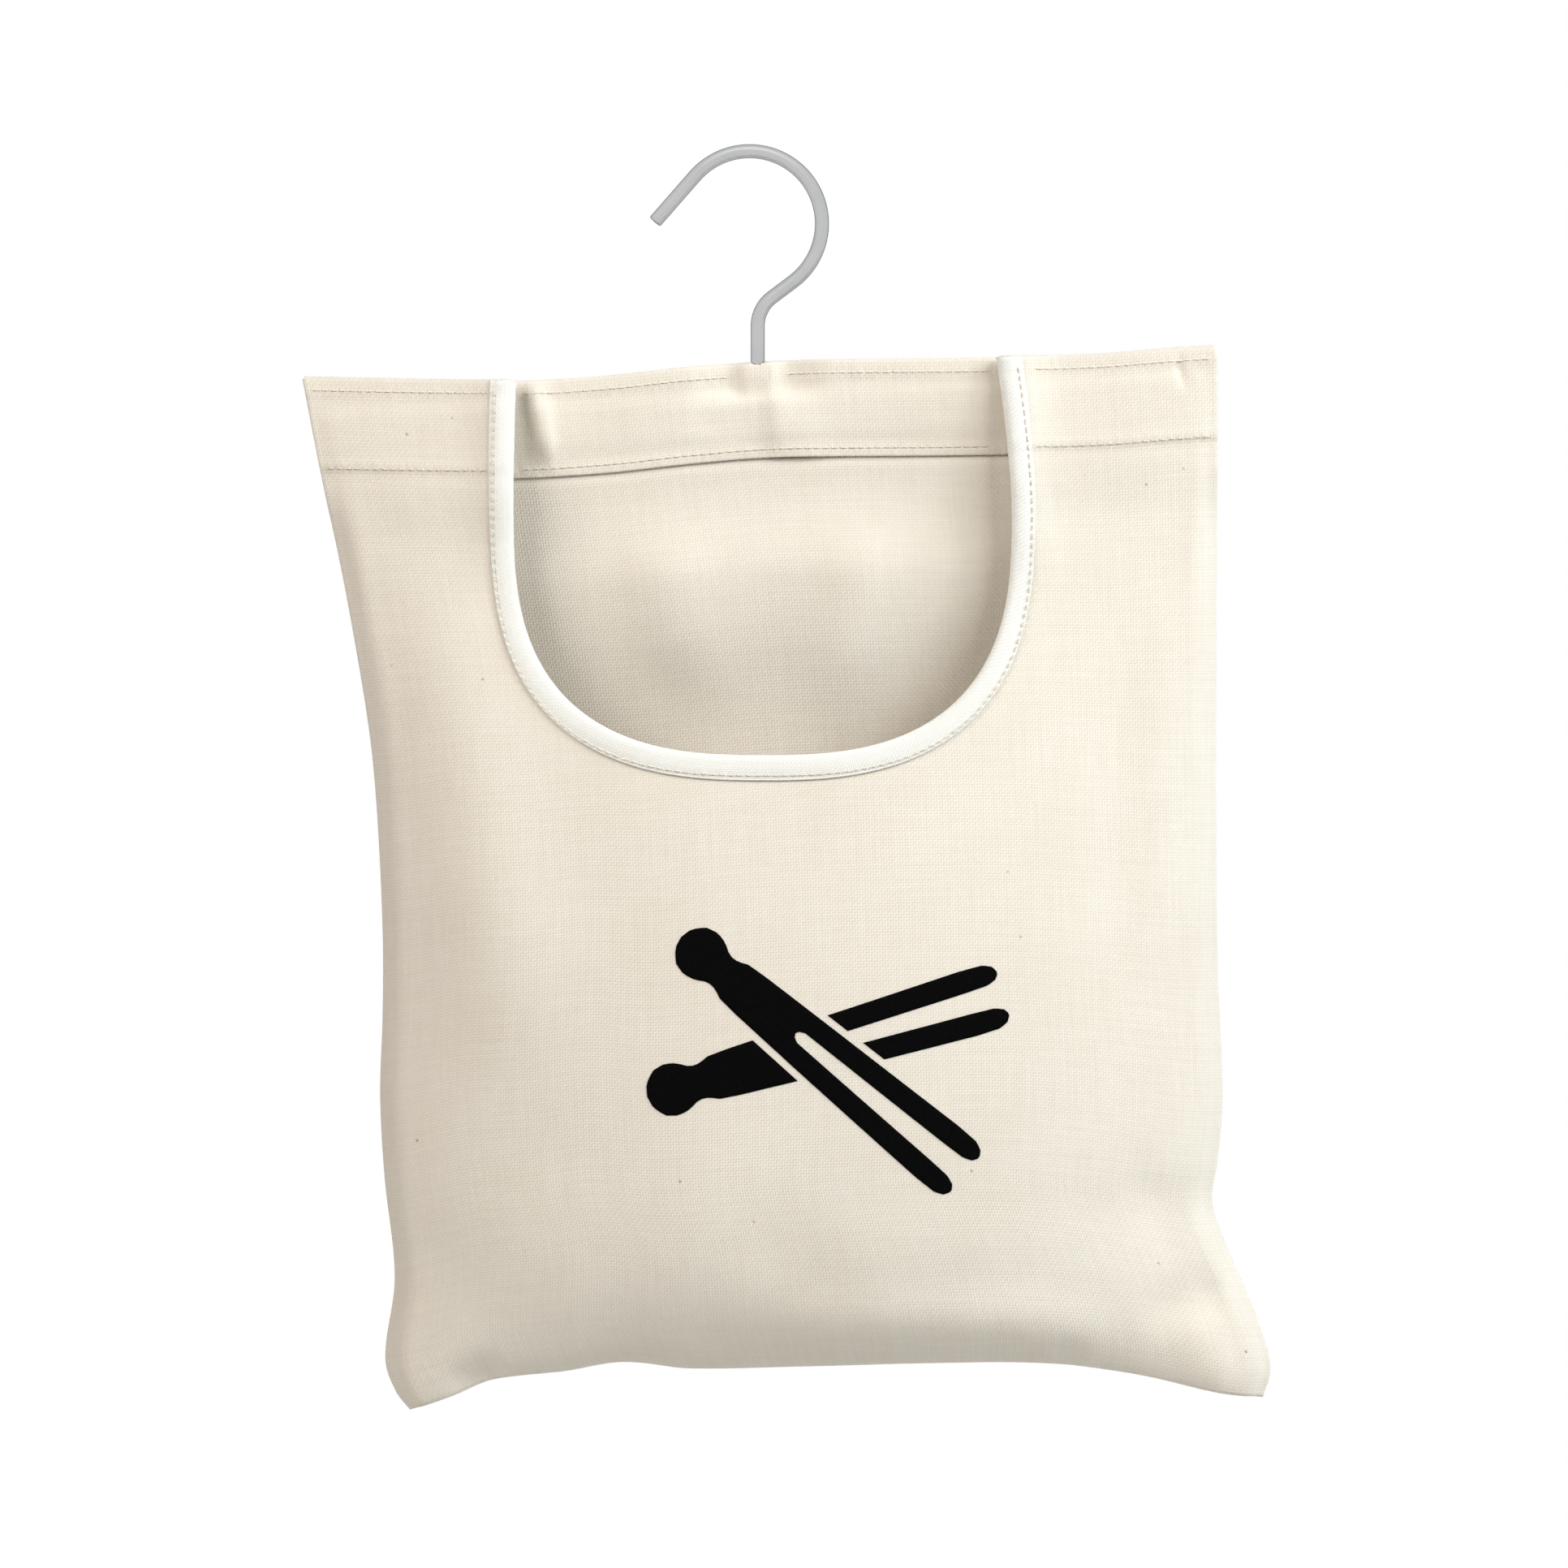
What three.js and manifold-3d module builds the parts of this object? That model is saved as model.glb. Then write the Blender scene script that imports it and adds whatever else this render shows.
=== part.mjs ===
// A canvas peg bag that hangs from a steel hook: a front and a back panel sewn into a pouch,
// a deep U-shaped mouth with a bound edge, and a wooden bar in a casing along the top, in which
// the hook swivels. Millimetres, +Z up, +X to the right seen from the front, the front at -Y.
// The origin is under the crown of the hook, where a washing line or a rail carries it.
import * as THREE from "three";
import { mergeVertices } from "three/addons/utils/BufferGeometryUtils.js";
import Module from "manifold-3d";

const wasm = await Module();
wasm.setup();
const { clamp, degToRad, lerp: mix } = THREE.MathUtils;

// Bag
const bagWidth = 312; // corner to corner along the top edge
const bagHeight = 354; // top edge down to the lower corners
const frontDepth = 36; // how far the hanging front swells from the seams
const backDepth = 22;
const clothThickness = 0.8; // canvas
const seamAllowance = 10;
const touchGap = 0.3; // between faces that rest on each other

// Hem and casing at the top
const hemDepth = 33.5;
const topRowDrop = 4.7; // top edge down to the stitches through all the layers
const shankRoomReach = 10; // the stitches stop this far from the shank, and the cloth bulges round it
const casingRowDrop = 30.4; // top edge down to the stitches that close the casing
const casingEase = 0.8; // the casing is this much roomier than the bar, in front and behind
const casingParting = 5.5; // its layers part this far above the bar
const hemStepRun = 1.2; // the front's doubled hem thins out over this length
const shoulderHemRowDrop = 31.2;
const turnRoom = 1.3; // behind the shoulders for the turned half of the binding
const hemFade = 24; // below the hem the front panel falls back by the casing's thickness over this length

// Mouth and its binding
const mouthHalfWidth = 84.2;
const mouthOffset = 1.8; // its middle lies this far right of the shank
const mouthSideDrop = 53.6; // top edge down to where the rounding starts
const mouthRoundDepth = 80.8; // from there to the lowest point
const mouthRoundness = 2.7; // exponent of the rounding, 2 is an ellipse
const neckClosingLeft = 0.9; // how far the sides close in at the top edge
const neckClosingRight = 5.8;
const bindingWidth = 9;
const bindingThickness = 0.7;
const bindingEase = 0.45; // between the tape and the cloth that it folds over
const bindingRowInset = 1.5; // its stitches lie this far inside its outer edge

// Hanger bar
const barLength = 284;
const barHeight = 10;
const barThickness = 10;
const barEdgeRadius = 1.5;
const barDrop = 14.6; // top edge of the cloth down to the bar, at the shank
const barTilt = degToRad(2.6);
const barHoleRadius = 3;

// Hook
const wireRadius = 2.4;
const crownRadius = 24.8; // to the middle of the wire
const shankOffset = 2.8; // the shank stands this far right of the crown's centre
const tailAngle = degToRad(138.8);
const tailLength = 20.9;
const neckAngle = degToRad(53.1); // the crown's run ends this far below the level of its centre
const neckRadius = 12.2;
const hookRise = 69.7; // underside of the crown down to the cloth's top edge
const headRadius = 3.4;
const headHeight = 2;
const washerRadius = 3.9;
const washerThickness = 0.8;
const bearingGap = 0.3; // round the washer, to the bar and to the wire
const slitClearance = 0.4; // shank to the cloth it comes out of

// Thread
const threadWidth = 0.7;
const threadHeight = 0.45;
const overlockWidth = 1.6;
const overlockHeight = 2.2;

const cutOverrun = 5; // how far a cutting solid runs past what it cuts
const slopeProbe = 1; // distance over which the slope of the cloth is taken

// The outline of the hanging bag: [place along the edge, place across it] in shares of the
// width for x, counted from the shank, and of the height for z, counted from the top edge there.
const topEdgeShares = [
  [-0.498, -0.0155], [-0.342, -0.019], [-0.2615, -0.0195], [-0.1635, -0.0141],
  [-0.0744, -0.0056], [0, 0], [0.0593, 0.0015], [0.237, 0.003], [0.371, 0.0062],
  [0.46, 0.0124], [0.5022, 0.015],
];
const bottomEdgeShares = [
  [-0.381, -1.013], [-0.3327, -0.998], [-0.288, -0.982], [-0.208, -0.973],
  [-0.1474, -0.9644], [-0.0744, -0.9706], [0.0593, -0.9684], [0.193, -0.9653],
  [0.317, -0.9658], [0.415, -0.977], [0.504, -0.995], [0.554, -1.0006],
];
const leftEdgeShares = [
  [-1.013, -0.381], [-0.995, -0.3968], [-0.9636, -0.4083], [-0.885, -0.3978],
  [-0.787, -0.409], [-0.7085, -0.4138], [-0.63, -0.411], [-0.5517, -0.411],
  [-0.434, -0.4173], [-0.3554, -0.426], [-0.2378, -0.4484], [-0.12, -0.475],
  [-0.0155, -0.498],
];
const rightEdgeShares = [
  [-1.0006, 0.554], [-0.9715, 0.5622], [-0.928, 0.5487], [-0.889, 0.531],
  [-0.85, 0.5115], [-0.811, 0.498], [-0.771, 0.5042], [-0.7085, 0.5096],
  [-0.591, 0.5042], [-0.434, 0.5026], [-0.277, 0.5026], [-0.12, 0.5035],
  [0.015, 0.5022],
];
const fullestShare = 0.7; // of the height, where the pouch is fullest
const sideSquareness = 2.3; // higher is squarer across the pouch
const sideBluntness = 0.9; // lower swells faster from the side seams
const riseSoftness = 1.3; // higher starts slower below the top
const bottomSquareness = 2.2;
const bottomBluntness = 0.7;
const steepestSlant = 2.2; // most that a slope may add to a thickness, as a factor

// A smooth curve through the rows of a table, whose places rise.
function through(rows) {
  const slopes = rows.map((row, i) => {
    const before = rows[Math.max(i - 1, 0)];
    const after = rows[Math.min(i + 1, rows.length - 1)];
    return (after[1] - before[1]) / (after[0] - before[0]);
  });
  return (place) => {
    const p = clamp(place, rows[0][0], rows.at(-1)[0]);
    const i = Math.min(rows.findLastIndex((row) => row[0] <= p), rows.length - 2);
    const span = rows[i + 1][0] - rows[i][0];
    const s = (p - rows[i][0]) / span;
    const from = rows[i][1] * (1 + 2 * s) * (1 - s) ** 2 + slopes[i] * span * s * (1 - s) ** 2;
    const to = rows[i + 1][1] * (3 - 2 * s) * s ** 2 + slopes[i + 1] * span * (s - 1) * s ** 2;
    return from + to;
  };
}
const topCurve = through(topEdgeShares);
const bottomCurve = through(bottomEdgeShares);
const leftCurve = through(leftEdgeShares);
const rightCurve = through(rightEdgeShares);
const topZ = (x) => bagHeight * topCurve(x / bagWidth);
const bottomZ = (x) => bagHeight * bottomCurve(x / bagWidth);
const leftX = (z) => bagWidth * leftCurve(z / bagHeight);
const rightX = (z) => bagWidth * rightCurve(z / bagHeight);

// 0 up to one value and 1 from the other on, with a smooth run between them.
function ramp(from, to, value) {
  const s = clamp((value - from) / (to - from), 0, 1);
  return s * s * (3 - 2 * s);
}
const spread = (count, point) => Array.from({ length: count + 1 }, (_, i) => point(i / count));
const topDrop = (x, z) => topZ(x) - z;
const sideDistance = (x, z) => Math.min(x - leftX(z), rightX(z) - x);
const depthIntoBar = (x, z) => (x * Math.tan(barTilt) - barDrop - z) * Math.cos(barTilt);

// A place in the hem: across is 0 at the left edge and 1 at the right.
function hemPlace(across, drop) {
  let z = -drop;
  let x = 0;
  for (let round = 0; round < 4; round++) {
    x = mix(leftX(z), rightX(z), across);
    z = topZ(x) - drop;
  }
  return { x, z };
}

// A place in the pouch: down is 0 at the hem's edge and 1 at the bottom seam.
const pouchTopDrop = hemDepth + touchGap / 2;
function pouchPlace(across, down) {
  const hemLeft = hemPlace(0, pouchTopDrop);
  const hemRight = hemPlace(1, pouchTopDrop);
  const lowLeft = { x: bottomEdgeShares[0][0] * bagWidth, z: bottomEdgeShares[0][1] * bagHeight };
  const lowRight = {
    x: bottomEdgeShares.at(-1)[0] * bagWidth,
    z: bottomEdgeShares.at(-1)[1] * bagHeight,
  };
  const hem = hemPlace(across, pouchTopDrop);
  const low = { x: mix(lowLeft.x, lowRight.x, across), z: 0 };
  low.z = bottomZ(low.x);
  const left = { x: 0, z: mix(hemLeft.z, lowLeft.z, down) };
  left.x = leftX(left.z);
  const right = { x: 0, z: mix(hemRight.z, lowRight.z, down) };
  right.x = rightX(right.z);
  const blend = (axis) => {
    const highCorners = mix(hemLeft[axis], hemRight[axis], across);
    const lowCorners = mix(lowLeft[axis], lowRight[axis], across);
    const edges = mix(hem[axis], low[axis], down) + mix(left[axis], right[axis], across);
    return edges - mix(highCorners, lowCorners, down);
  };
  return { x: blend("x"), z: blend("z") };
}

// How far the pouch swells from the seams: 0 at the seams and 1 where it is fullest.
function swell(x, z, startDrop) {
  const height = topZ(x) - bottomZ(x);
  const level = clamp((topDrop(x, z) - startDrop) / (height - startDrop), 0, 1);
  const across = clamp((x - leftX(z)) / (rightX(z) - leftX(z)), 0, 1);
  const lens = (1 - Math.abs(2 * across - 1) ** sideSquareness) ** sideBluntness;
  const rise = Math.sin((Math.PI / 2) * Math.min(level / fullestShare, 1)) ** riseSoftness;
  const fall = Math.max((level - fullestShare) / (1 - fullestShare), 0);
  return lens * rise * (1 - fall ** bottomSquareness) ** bottomBluntness;
}

// How much longer a thickness measured along y is than the same measured square to the cloth.
function slant(face, x, z) {
  const alongX = (face(x + slopeProbe, z) - face(x - slopeProbe, z)) / (2 * slopeProbe);
  const alongZ = (face(x, z + slopeProbe) - face(x, z - slopeProbe)) / (2 * slopeProbe);
  return Math.min(Math.hypot(1, alongX, alongZ), steepestSlant);
}

// The casing round the bar, the shank and the washer: how far its cloth stands from y = 0.
const barRoom = barThickness / 2 + casingEase;
const nearHook = (x) => 1 - ramp(washerRadius, shankRoomReach, Math.abs(x));
const offSeam = (x, z) => ramp(touchGap, barRoom + barEdgeRadius, sideDistance(x, z));
function barBulge(x, z) {
  const opened = ramp(-casingParting, barEdgeRadius / 3, depthIntoBar(x, z)) * offSeam(x, z);
  return mix(touchGap / 2, barRoom, opened);
}
function casingRoom(x, z) {
  return Math.max(barBulge(x, z), nearHook(x) * (wireRadius + slitClearance));
}
function casingClosed(x, z) {
  const depth = depthIntoBar(x, z);
  const rowDepth = depth + casingRowDrop - topDrop(x, z) - threadWidth;
  return ramp(barHeight - barEdgeRadius / 2, rowDepth, depth);
}
const casingWall = (x, z) => mix(casingRoom(x, z), touchGap / 2, casingClosed(x, z));
const hemInner = (x, z) => -casingWall(x, z);
const seamRoom = overlockHeight / 2 + 2 * touchGap; // for the overlocked edges inside the pouch
function backInner(x, z) {
  const room = seamRoom * offSeam(x, z) * ramp(casingRowDrop, hemDepth + seamAllowance, topDrop(x, z));
  return casingWall(x, z) + room + backDepth * swell(x, z, casingRowDrop);
}
const hemOuter = (x, z) => hemInner(x, z) - clothThickness * slant(hemInner, x, z);
const backOuter = (x, z) => backInner(x, z) + clothThickness * slant(backInner, x, z);

// The front panel lies on the casing at the shoulders and hangs forward below them.
const frontBase = (x, z) => -barBulge(x, z);
function frontInner(x, z) {
  const turned = turnRoom * ramp(touchGap, 3 * seamAllowance, sideDistance(x, z));
  const hemmed = 1 - ramp(hemDepth + touchGap, hemDepth + hemFade, topDrop(x, z));
  const behind = (clothThickness + touchGap + turned) * slant(frontBase, x, z) * hemmed;
  return frontBase(x, z) - behind - frontDepth * swell(x, z, topRowDrop);
}
function frontOuter(x, z) {
  const layers = 2 - ramp(hemDepth - hemStepRun, hemDepth, topDrop(x, z));
  return frontInner(x, z) - layers * clothThickness * slant(frontInner, x, z);
}

// The mouth's edge from the top of the left neck round to the top of the right. inset 0 is the
// binding's fold, larger values lie further out on the cloth.
const mouthSideShare = 0.22; // of the walk, for each side above the rounding
const neckRise = mouthSideDrop + cutOverrun;
function mouthSidePlace(side, up, inset) {
  const closing = side < 0 ? neckClosingLeft : neckClosingRight;
  const x = mouthOffset + side * (mouthHalfWidth + inset - closing * up ** 1.5);
  return { x, z: -mouthSideDrop + up * neckRise };
}
function mouthPlace(share, inset) {
  if (share < mouthSideShare) {
    return mouthSidePlace(-1, 1 - share / mouthSideShare, inset);
  }
  if (share > 1 - mouthSideShare) {
    return mouthSidePlace(1, 1 - (1 - share) / mouthSideShare, inset);
  }
  const turn = Math.PI * (1 + (share - mouthSideShare) / (1 - 2 * mouthSideShare));
  const power = 2 / mouthRoundness;
  const outward = Math.sign(Math.cos(turn)) * Math.abs(Math.cos(turn)) ** power;
  const downward = Math.abs(Math.sin(turn)) ** power;
  return {
    x: mouthOffset + (mouthHalfWidth + inset) * outward,
    z: -mouthSideDrop - (mouthRoundDepth + inset) * downward,
  };
}

// Solids and meshes
function toSolid(geometry) {
  const bare = new THREE.BufferGeometry();
  bare.setAttribute("position", geometry.getAttribute("position"));
  bare.setIndex(geometry.index);
  const merged = mergeVertices(bare, 1e-4);
  const mesh = new wasm.Mesh({
    numProp: 3,
    vertProperties: new Float32Array(merged.attributes.position.array),
    triVerts: new Uint32Array(merged.index.array),
  });
  return new wasm.Manifold(mesh);
}
function toGeometry(solid) {
  const mesh = solid.getMesh();
  const geometry = new THREE.BufferGeometry();
  const positions = new Float32Array(mesh.numVert * 3);
  for (let i = 0; i < mesh.numVert; i++) {
    positions.set(mesh.vertProperties.subarray(i * mesh.numProp, i * mesh.numProp + 3), i * 3);
  }
  geometry.setAttribute("position", new THREE.BufferAttribute(positions, 3));
  geometry.setIndex(new THREE.BufferAttribute(new Uint32Array(mesh.triVerts), 1));
  geometry.computeVertexNormals();
  return geometry;
}

// A closed skin over rings of points. A ring runs out along one face of a sheet and back along
// the other, so that its first and last points lie across the sheet from each other.
function skin(rings) {
  const count = rings[0].length;
  const faces = [];
  for (let i = 0; i < rings.length - 1; i++) {
    for (let j = 0; j < count; j++) {
      const a = i * count + j;
      const b = i * count + ((j + 1) % count);
      faces.push(a, b, a + count, b, b + count, a + count);
    }
  }
  for (let j = 0; j < count / 2 - 1; j++) {
    const last = (rings.length - 1) * count;
    const far = count - 1 - j;
    faces.push(j, far, j + 1, j + 1, far, far - 1);
    faces.push(last + j, last + j + 1, last + far, last + j + 1, last + far - 1, last + far);
  }
  const geometry = new THREE.BufferGeometry();
  const positions = rings.flat().flatMap((p) => [p.x, p.y, p.z]);
  geometry.setAttribute("position", new THREE.Float32BufferAttribute(positions, 3));
  geometry.setIndex(faces);
  return facingOut(mergeVertices(geometry, 1e-4));
}

// Drops faces without area and turns the rest outwards.
function facingOut(geometry) {
  const index = geometry.index.array;
  const corner = (i) => new THREE.Vector3().fromBufferAttribute(geometry.attributes.position, i);
  const kept = [];
  let volume = 0;
  for (let i = 0; i < index.length; i += 3) {
    const [a, b, c] = index.slice(i, i + 3);
    if (a === b || b === c || a === c) continue;
    kept.push([a, b, c]);
    volume += corner(a).dot(corner(b).cross(corner(c)));
  }
  geometry.setIndex(kept.flatMap(([a, b, c]) => (volume < 0 ? [a, c, b] : [a, b, c])));
  geometry.computeVertexNormals();
  return geometry;
}

const looks = {
  canvas: { color: 0xeae2d0, roughness: 0.95, metalness: 0 },
  binding: { color: 0xf8f6ec, roughness: 0.85, metalness: 0 },
  thread: { color: 0xe4dac4, roughness: 0.8, metalness: 0 },
  beech: { color: 0xc9a06d, roughness: 0.6, metalness: 0 },
  steel: { color: 0xc4c6c8, roughness: 0.28, metalness: 1 },
};
function addMesh(group, name, geometry, look) {
  const mesh = new THREE.Mesh(geometry, new THREE.MeshStandardMaterial(looks[look]));
  mesh.name = name;
  group.add(mesh);
  return mesh;
}

// Columns of the cloth's grid lie closer at the seams and at the hook, rows closer in the hem.
const columnCount = 18;
const [topLeftShare, topRightShare] = [leftEdgeShares.at(-1)[1], rightEdgeShares.at(-1)[1]];
const hookColumnShares = [-shankRoomReach, -washerRadius, washerRadius, shankRoomReach].map((x) => {
  return (x / bagWidth - topLeftShare) / (topRightShare - topLeftShare);
});
const plainColumnShares = spread(columnCount, (s) => s - Math.sin(2 * Math.PI * s) / (4 * Math.PI));
const hookClearShare = 0.4 / columnCount;
const clearColumnShares = plainColumnShares.filter((share) => {
  return hookColumnShares.every((hook) => Math.abs(hook - share) > hookClearShare);
});
const columnShares = [...clearColumnShares, ...hookColumnShares].sort((a, b) => a - b);
const hemRowShares = [0.06, 0.17, 0.22, 0.27, 0.32, 0.37, 0.42, 0.48, 0.68, 0.74, 0.79, 0.84, 0.88];
const hemDrops = [...hemRowShares.map((s) => s * hemDepth), hemDepth - hemStepRun, hemDepth - touchGap / 2];
const pouchRowShares = [
  0, 0.03, 0.07, 0.13, 0.21, 0.3, 0.4, 0.5, 0.6, 0.7, 0.78, 0.85, 0.91, 0.955, 0.985, 1,
];
const onFace = (face) => ({ x, z }) => new THREE.Vector3(x, face(x, z), z);

function frontSheet() {
  const rings = columnShares.map((across) => {
    const hem = [0, ...hemDrops].map((drop) => hemPlace(across, drop));
    const places = [...hem, ...pouchRowShares.map((down) => pouchPlace(across, down))];
    return [...places.map(onFace(frontOuter)), ...places.reverse().map(onFace(frontInner))];
  });
  return toSolid(skin(rings));
}

// The back panel turns over the top edge and comes down again as the front of the casing.
function backSheet() {
  const turnSteps = 4;
  const turnOver = (front, back, rise) => {
    const points = spread(turnSteps, (s) => {
      const y = mix(front.y, back.y, (1 - Math.cos(Math.PI * s)) / 2);
      return new THREE.Vector3(front.x, y, front.z + rise * Math.sin(Math.PI * s));
    });
    return points.slice(1, -1);
  };
  const rings = columnShares.map((across) => {
    const hem = hemDrops.map((drop) => hemPlace(across, drop));
    const body = [...hem, ...pouchRowShares.map((down) => pouchPlace(across, down))];
    const rise = topDrop(hem[0].x, hem[0].z);
    const hemOut = hem.map(onFace(hemOuter));
    const hemIn = hem.map(onFace(hemInner));
    const bodyOut = body.map(onFace(backOuter));
    const bodyIn = body.map(onFace(backInner));
    const outside = [...hemOut.toReversed(), ...turnOver(hemOut[0], bodyOut[0], rise), ...bodyOut];
    const insideRise = rise - clothThickness;
    const inside = [...hemIn.toReversed(), ...turnOver(hemIn[0], bodyIn[0], insideRise), ...bodyIn];
    return [...outside, ...inside.reverse()];
  });
  return toSolid(skin(rings));
}

// An upright slab: an outline of places, between two values of y.
function slab(outline, lowY, highY) {
  const shape = new THREE.Shape(outline.map((p) => new THREE.Vector2(p.x, p.z)));
  const geometry = new THREE.ExtrudeGeometry(shape, { depth: highY - lowY, bevelEnabled: false });
  geometry.rotateX(Math.PI / 2);
  geometry.translate(0, highY, 0);
  return toSolid(geometry);
}

// The edges of the panels, turned in along the sides and the bottom and left inside the pouch.
const allowanceStartShare = (4 * touchGap) / bagHeight;
function allowancePlaces(inset) {
  const acrossInset = inset / bagWidth;
  const downInset = inset / (bagHeight - hemDepth);
  const sideSteps = 24;
  const bottomSteps = 22;
  const downSide = spread(sideSteps, (s) => mix(allowanceStartShare, 1 - downInset, s));
  const alongBottom = spread(bottomSteps, (s) => mix(acrossInset, 1 - acrossInset, s)).slice(1, -1);
  return {
    left: downSide.map((down) => pouchPlace(acrossInset, down)),
    bottom: alongBottom.map((across) => pouchPlace(across, 1 - downInset)),
    right: downSide.map((down) => pouchPlace(1 - acrossInset, down)),
  };
}
function seamEdge(lowY, highY) {
  const outside = allowancePlaces(touchGap);
  const inside = allowancePlaces(seamAllowance);
  const outline = [
    ...outside.left, ...outside.bottom, ...outside.right.toReversed(),
    ...inside.right, ...inside.bottom.toReversed(), ...inside.left.toReversed(),
  ];
  return slab(outline, lowY, highY);
}

// A row of thread on a face of the cloth, along a path of places; side is -1 on a face that
// looks to the front and 1 on one that looks to the back.
function threadRow(path, face, side) {
  const rings = path.map((place, i) => {
    const before = path[Math.max(i - 1, 0)];
    const after = path[Math.min(i + 1, path.length - 1)];
    const along = new THREE.Vector2(after.x - before.x, after.z - before.z).normalize();
    const low = touchGap * slant(face, place.x, place.z);
    const point = (edge, lift) => {
      const x = place.x - (edge * threadWidth * along.y) / 2;
      const z = place.z + (edge * threadWidth * along.x) / 2;
      return new THREE.Vector3(x, face(place.x, place.z) + side * lift, z);
    };
    return [point(-1, low), point(1, low), point(1, low + threadHeight), point(-1, low + threadHeight)];
  });
  return skin(rings);
}

// Binding: a tape folded over the cut edge, a channel in section.
const cutInset = bindingThickness + bindingEase;
const bindingFront = (lift) => (x, z) => frontOuter(x, z) - lift * slant(frontOuter, x, z);
const bindingBack = (lift) => (x, z) => frontInner(x, z) + lift * slant(frontInner, x, z);
function mouthStations() {
  const sideShares = (side) => {
    return [touchGap, ...hemDrops, pouchTopDrop].map((drop) => {
      const x = mouthOffset + side * mouthHalfWidth;
      const up = (topZ(x) - drop + mouthSideDrop) / neckRise;
      return mouthSideShare * (1 - up);
    });
  };
  const left = sideShares(-1);
  const right = sideShares(1).map((share) => 1 - share).reverse();
  const middleCount = 36;
  const middle = spread(middleCount, (s) => mix(left.at(-1), right[0], s)).slice(1, -1);
  return [...left, ...middle, ...right];
}
function bindingTape() {
  const outsideLift = bindingEase + bindingThickness;
  const rings = mouthStations().map((share) => {
    const at = (inset, face) => onFace(face)(mouthPlace(share, inset));
    const outside = [
      at(bindingWidth, bindingFront(outsideLift)),
      at(bindingThickness / 2, bindingFront(outsideLift)),
      at(0, bindingFront(0)),
      at(0, bindingBack(0)),
      at(bindingThickness / 2, bindingBack(outsideLift)),
      at(bindingWidth, bindingBack(outsideLift)),
    ];
    const inside = [
      at(bindingWidth, bindingFront(bindingEase)),
      at(bindingThickness, bindingFront(bindingEase)),
      at(bindingThickness, bindingFront(0)),
      at(bindingThickness, bindingBack(0)),
      at(bindingThickness, bindingBack(bindingEase)),
      at(bindingWidth, bindingBack(bindingEase)),
    ];
    return [...outside, ...inside.reverse()];
  });
  return skin(rings);
}

// Hook: the tail, the crown, the run to the neck, the neck's bend and the shank.
class HookLine extends THREE.Curve {
  constructor(lowestZ) {
    super();
    const centreZ = wireRadius - crownRadius;
    const bendCut = neckRadius * Math.tan(neckAngle / 2);
    const crownEnd = new THREE.Vector2(crownRadius, 0).rotateAround(new THREE.Vector2(), -neckAngle);
    const sideways = crownEnd.x - shankOffset;
    const run = sideways / Math.sin(neckAngle) - bendCut;
    const shankZ = crownEnd.y - sideways / Math.tan(neckAngle) - bendCut;
    const shankLength = shankZ + centreZ - lowestZ;
    this.pieces = [
      [tailLength, (s) => {
        const left = tailLength - s;
        const x = crownRadius * Math.cos(tailAngle) - left * Math.sin(tailAngle);
        return [x, crownRadius * Math.sin(tailAngle) + left * Math.cos(tailAngle)];
      }],
      [crownRadius * (tailAngle + neckAngle), (s) => {
        const turn = tailAngle - s / crownRadius;
        return [crownRadius * Math.cos(turn), crownRadius * Math.sin(turn)];
      }],
      [run, (s) => [crownEnd.x - s * Math.sin(neckAngle), crownEnd.y - s * Math.cos(neckAngle)]],
      [neckRadius * neckAngle, (s) => {
        const turn = neckAngle - s / neckRadius;
        return [shankOffset + neckRadius * (1 - Math.cos(turn)), shankZ + neckRadius * Math.sin(turn)];
      }],
      [shankLength, (s) => [shankOffset, shankZ - s]],
    ];
    this.centreZ = centreZ;
    this.total = this.pieces.reduce((sum, [length]) => sum + length, 0);
  }

  getPoint(share, target = new THREE.Vector3()) {
    let along = share * this.total;
    let piece = 0;
    while (piece < this.pieces.length - 1 && along > this.pieces[piece][0]) {
      along -= this.pieces[piece][0];
      piece += 1;
    }
    const [x, z] = this.pieces[piece][1](along);
    return target.set(x, 0, z + this.centreZ);
  }
}

function hookGeometry(headTop) {
  const sides = 10;
  const rim = spread(sides, (s) => {
    return new THREE.Vector2(wireRadius, 0).rotateAround(new THREE.Vector2(), 2 * Math.PI * s);
  });
  const wire = new THREE.ExtrudeGeometry(new THREE.Shape(rim.slice(0, -1)), {
    steps: 66,
    bevelEnabled: false,
    extrudePath: new HookLine(headTop - headHeight / 2),
  });
  const head = new THREE.CylinderGeometry(headRadius, headRadius, headHeight, 24);
  head.rotateX(Math.PI / 2);
  head.translate(shankOffset, 0, headTop - headHeight / 2);
  return toGeometry(toSolid(wire).add(toSolid(head)));
}
function washerGeometry() {
  const shape = new THREE.Shape().absarc(0, 0, washerRadius, 0, 2 * Math.PI);
  shape.holes.push(new THREE.Path().absarc(0, 0, wireRadius + bearingGap, 0, 2 * Math.PI, true));
  const depth = washerThickness;
  return new THREE.ExtrudeGeometry(shape, { depth, bevelEnabled: false, curveSegments: 24 });
}

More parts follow.
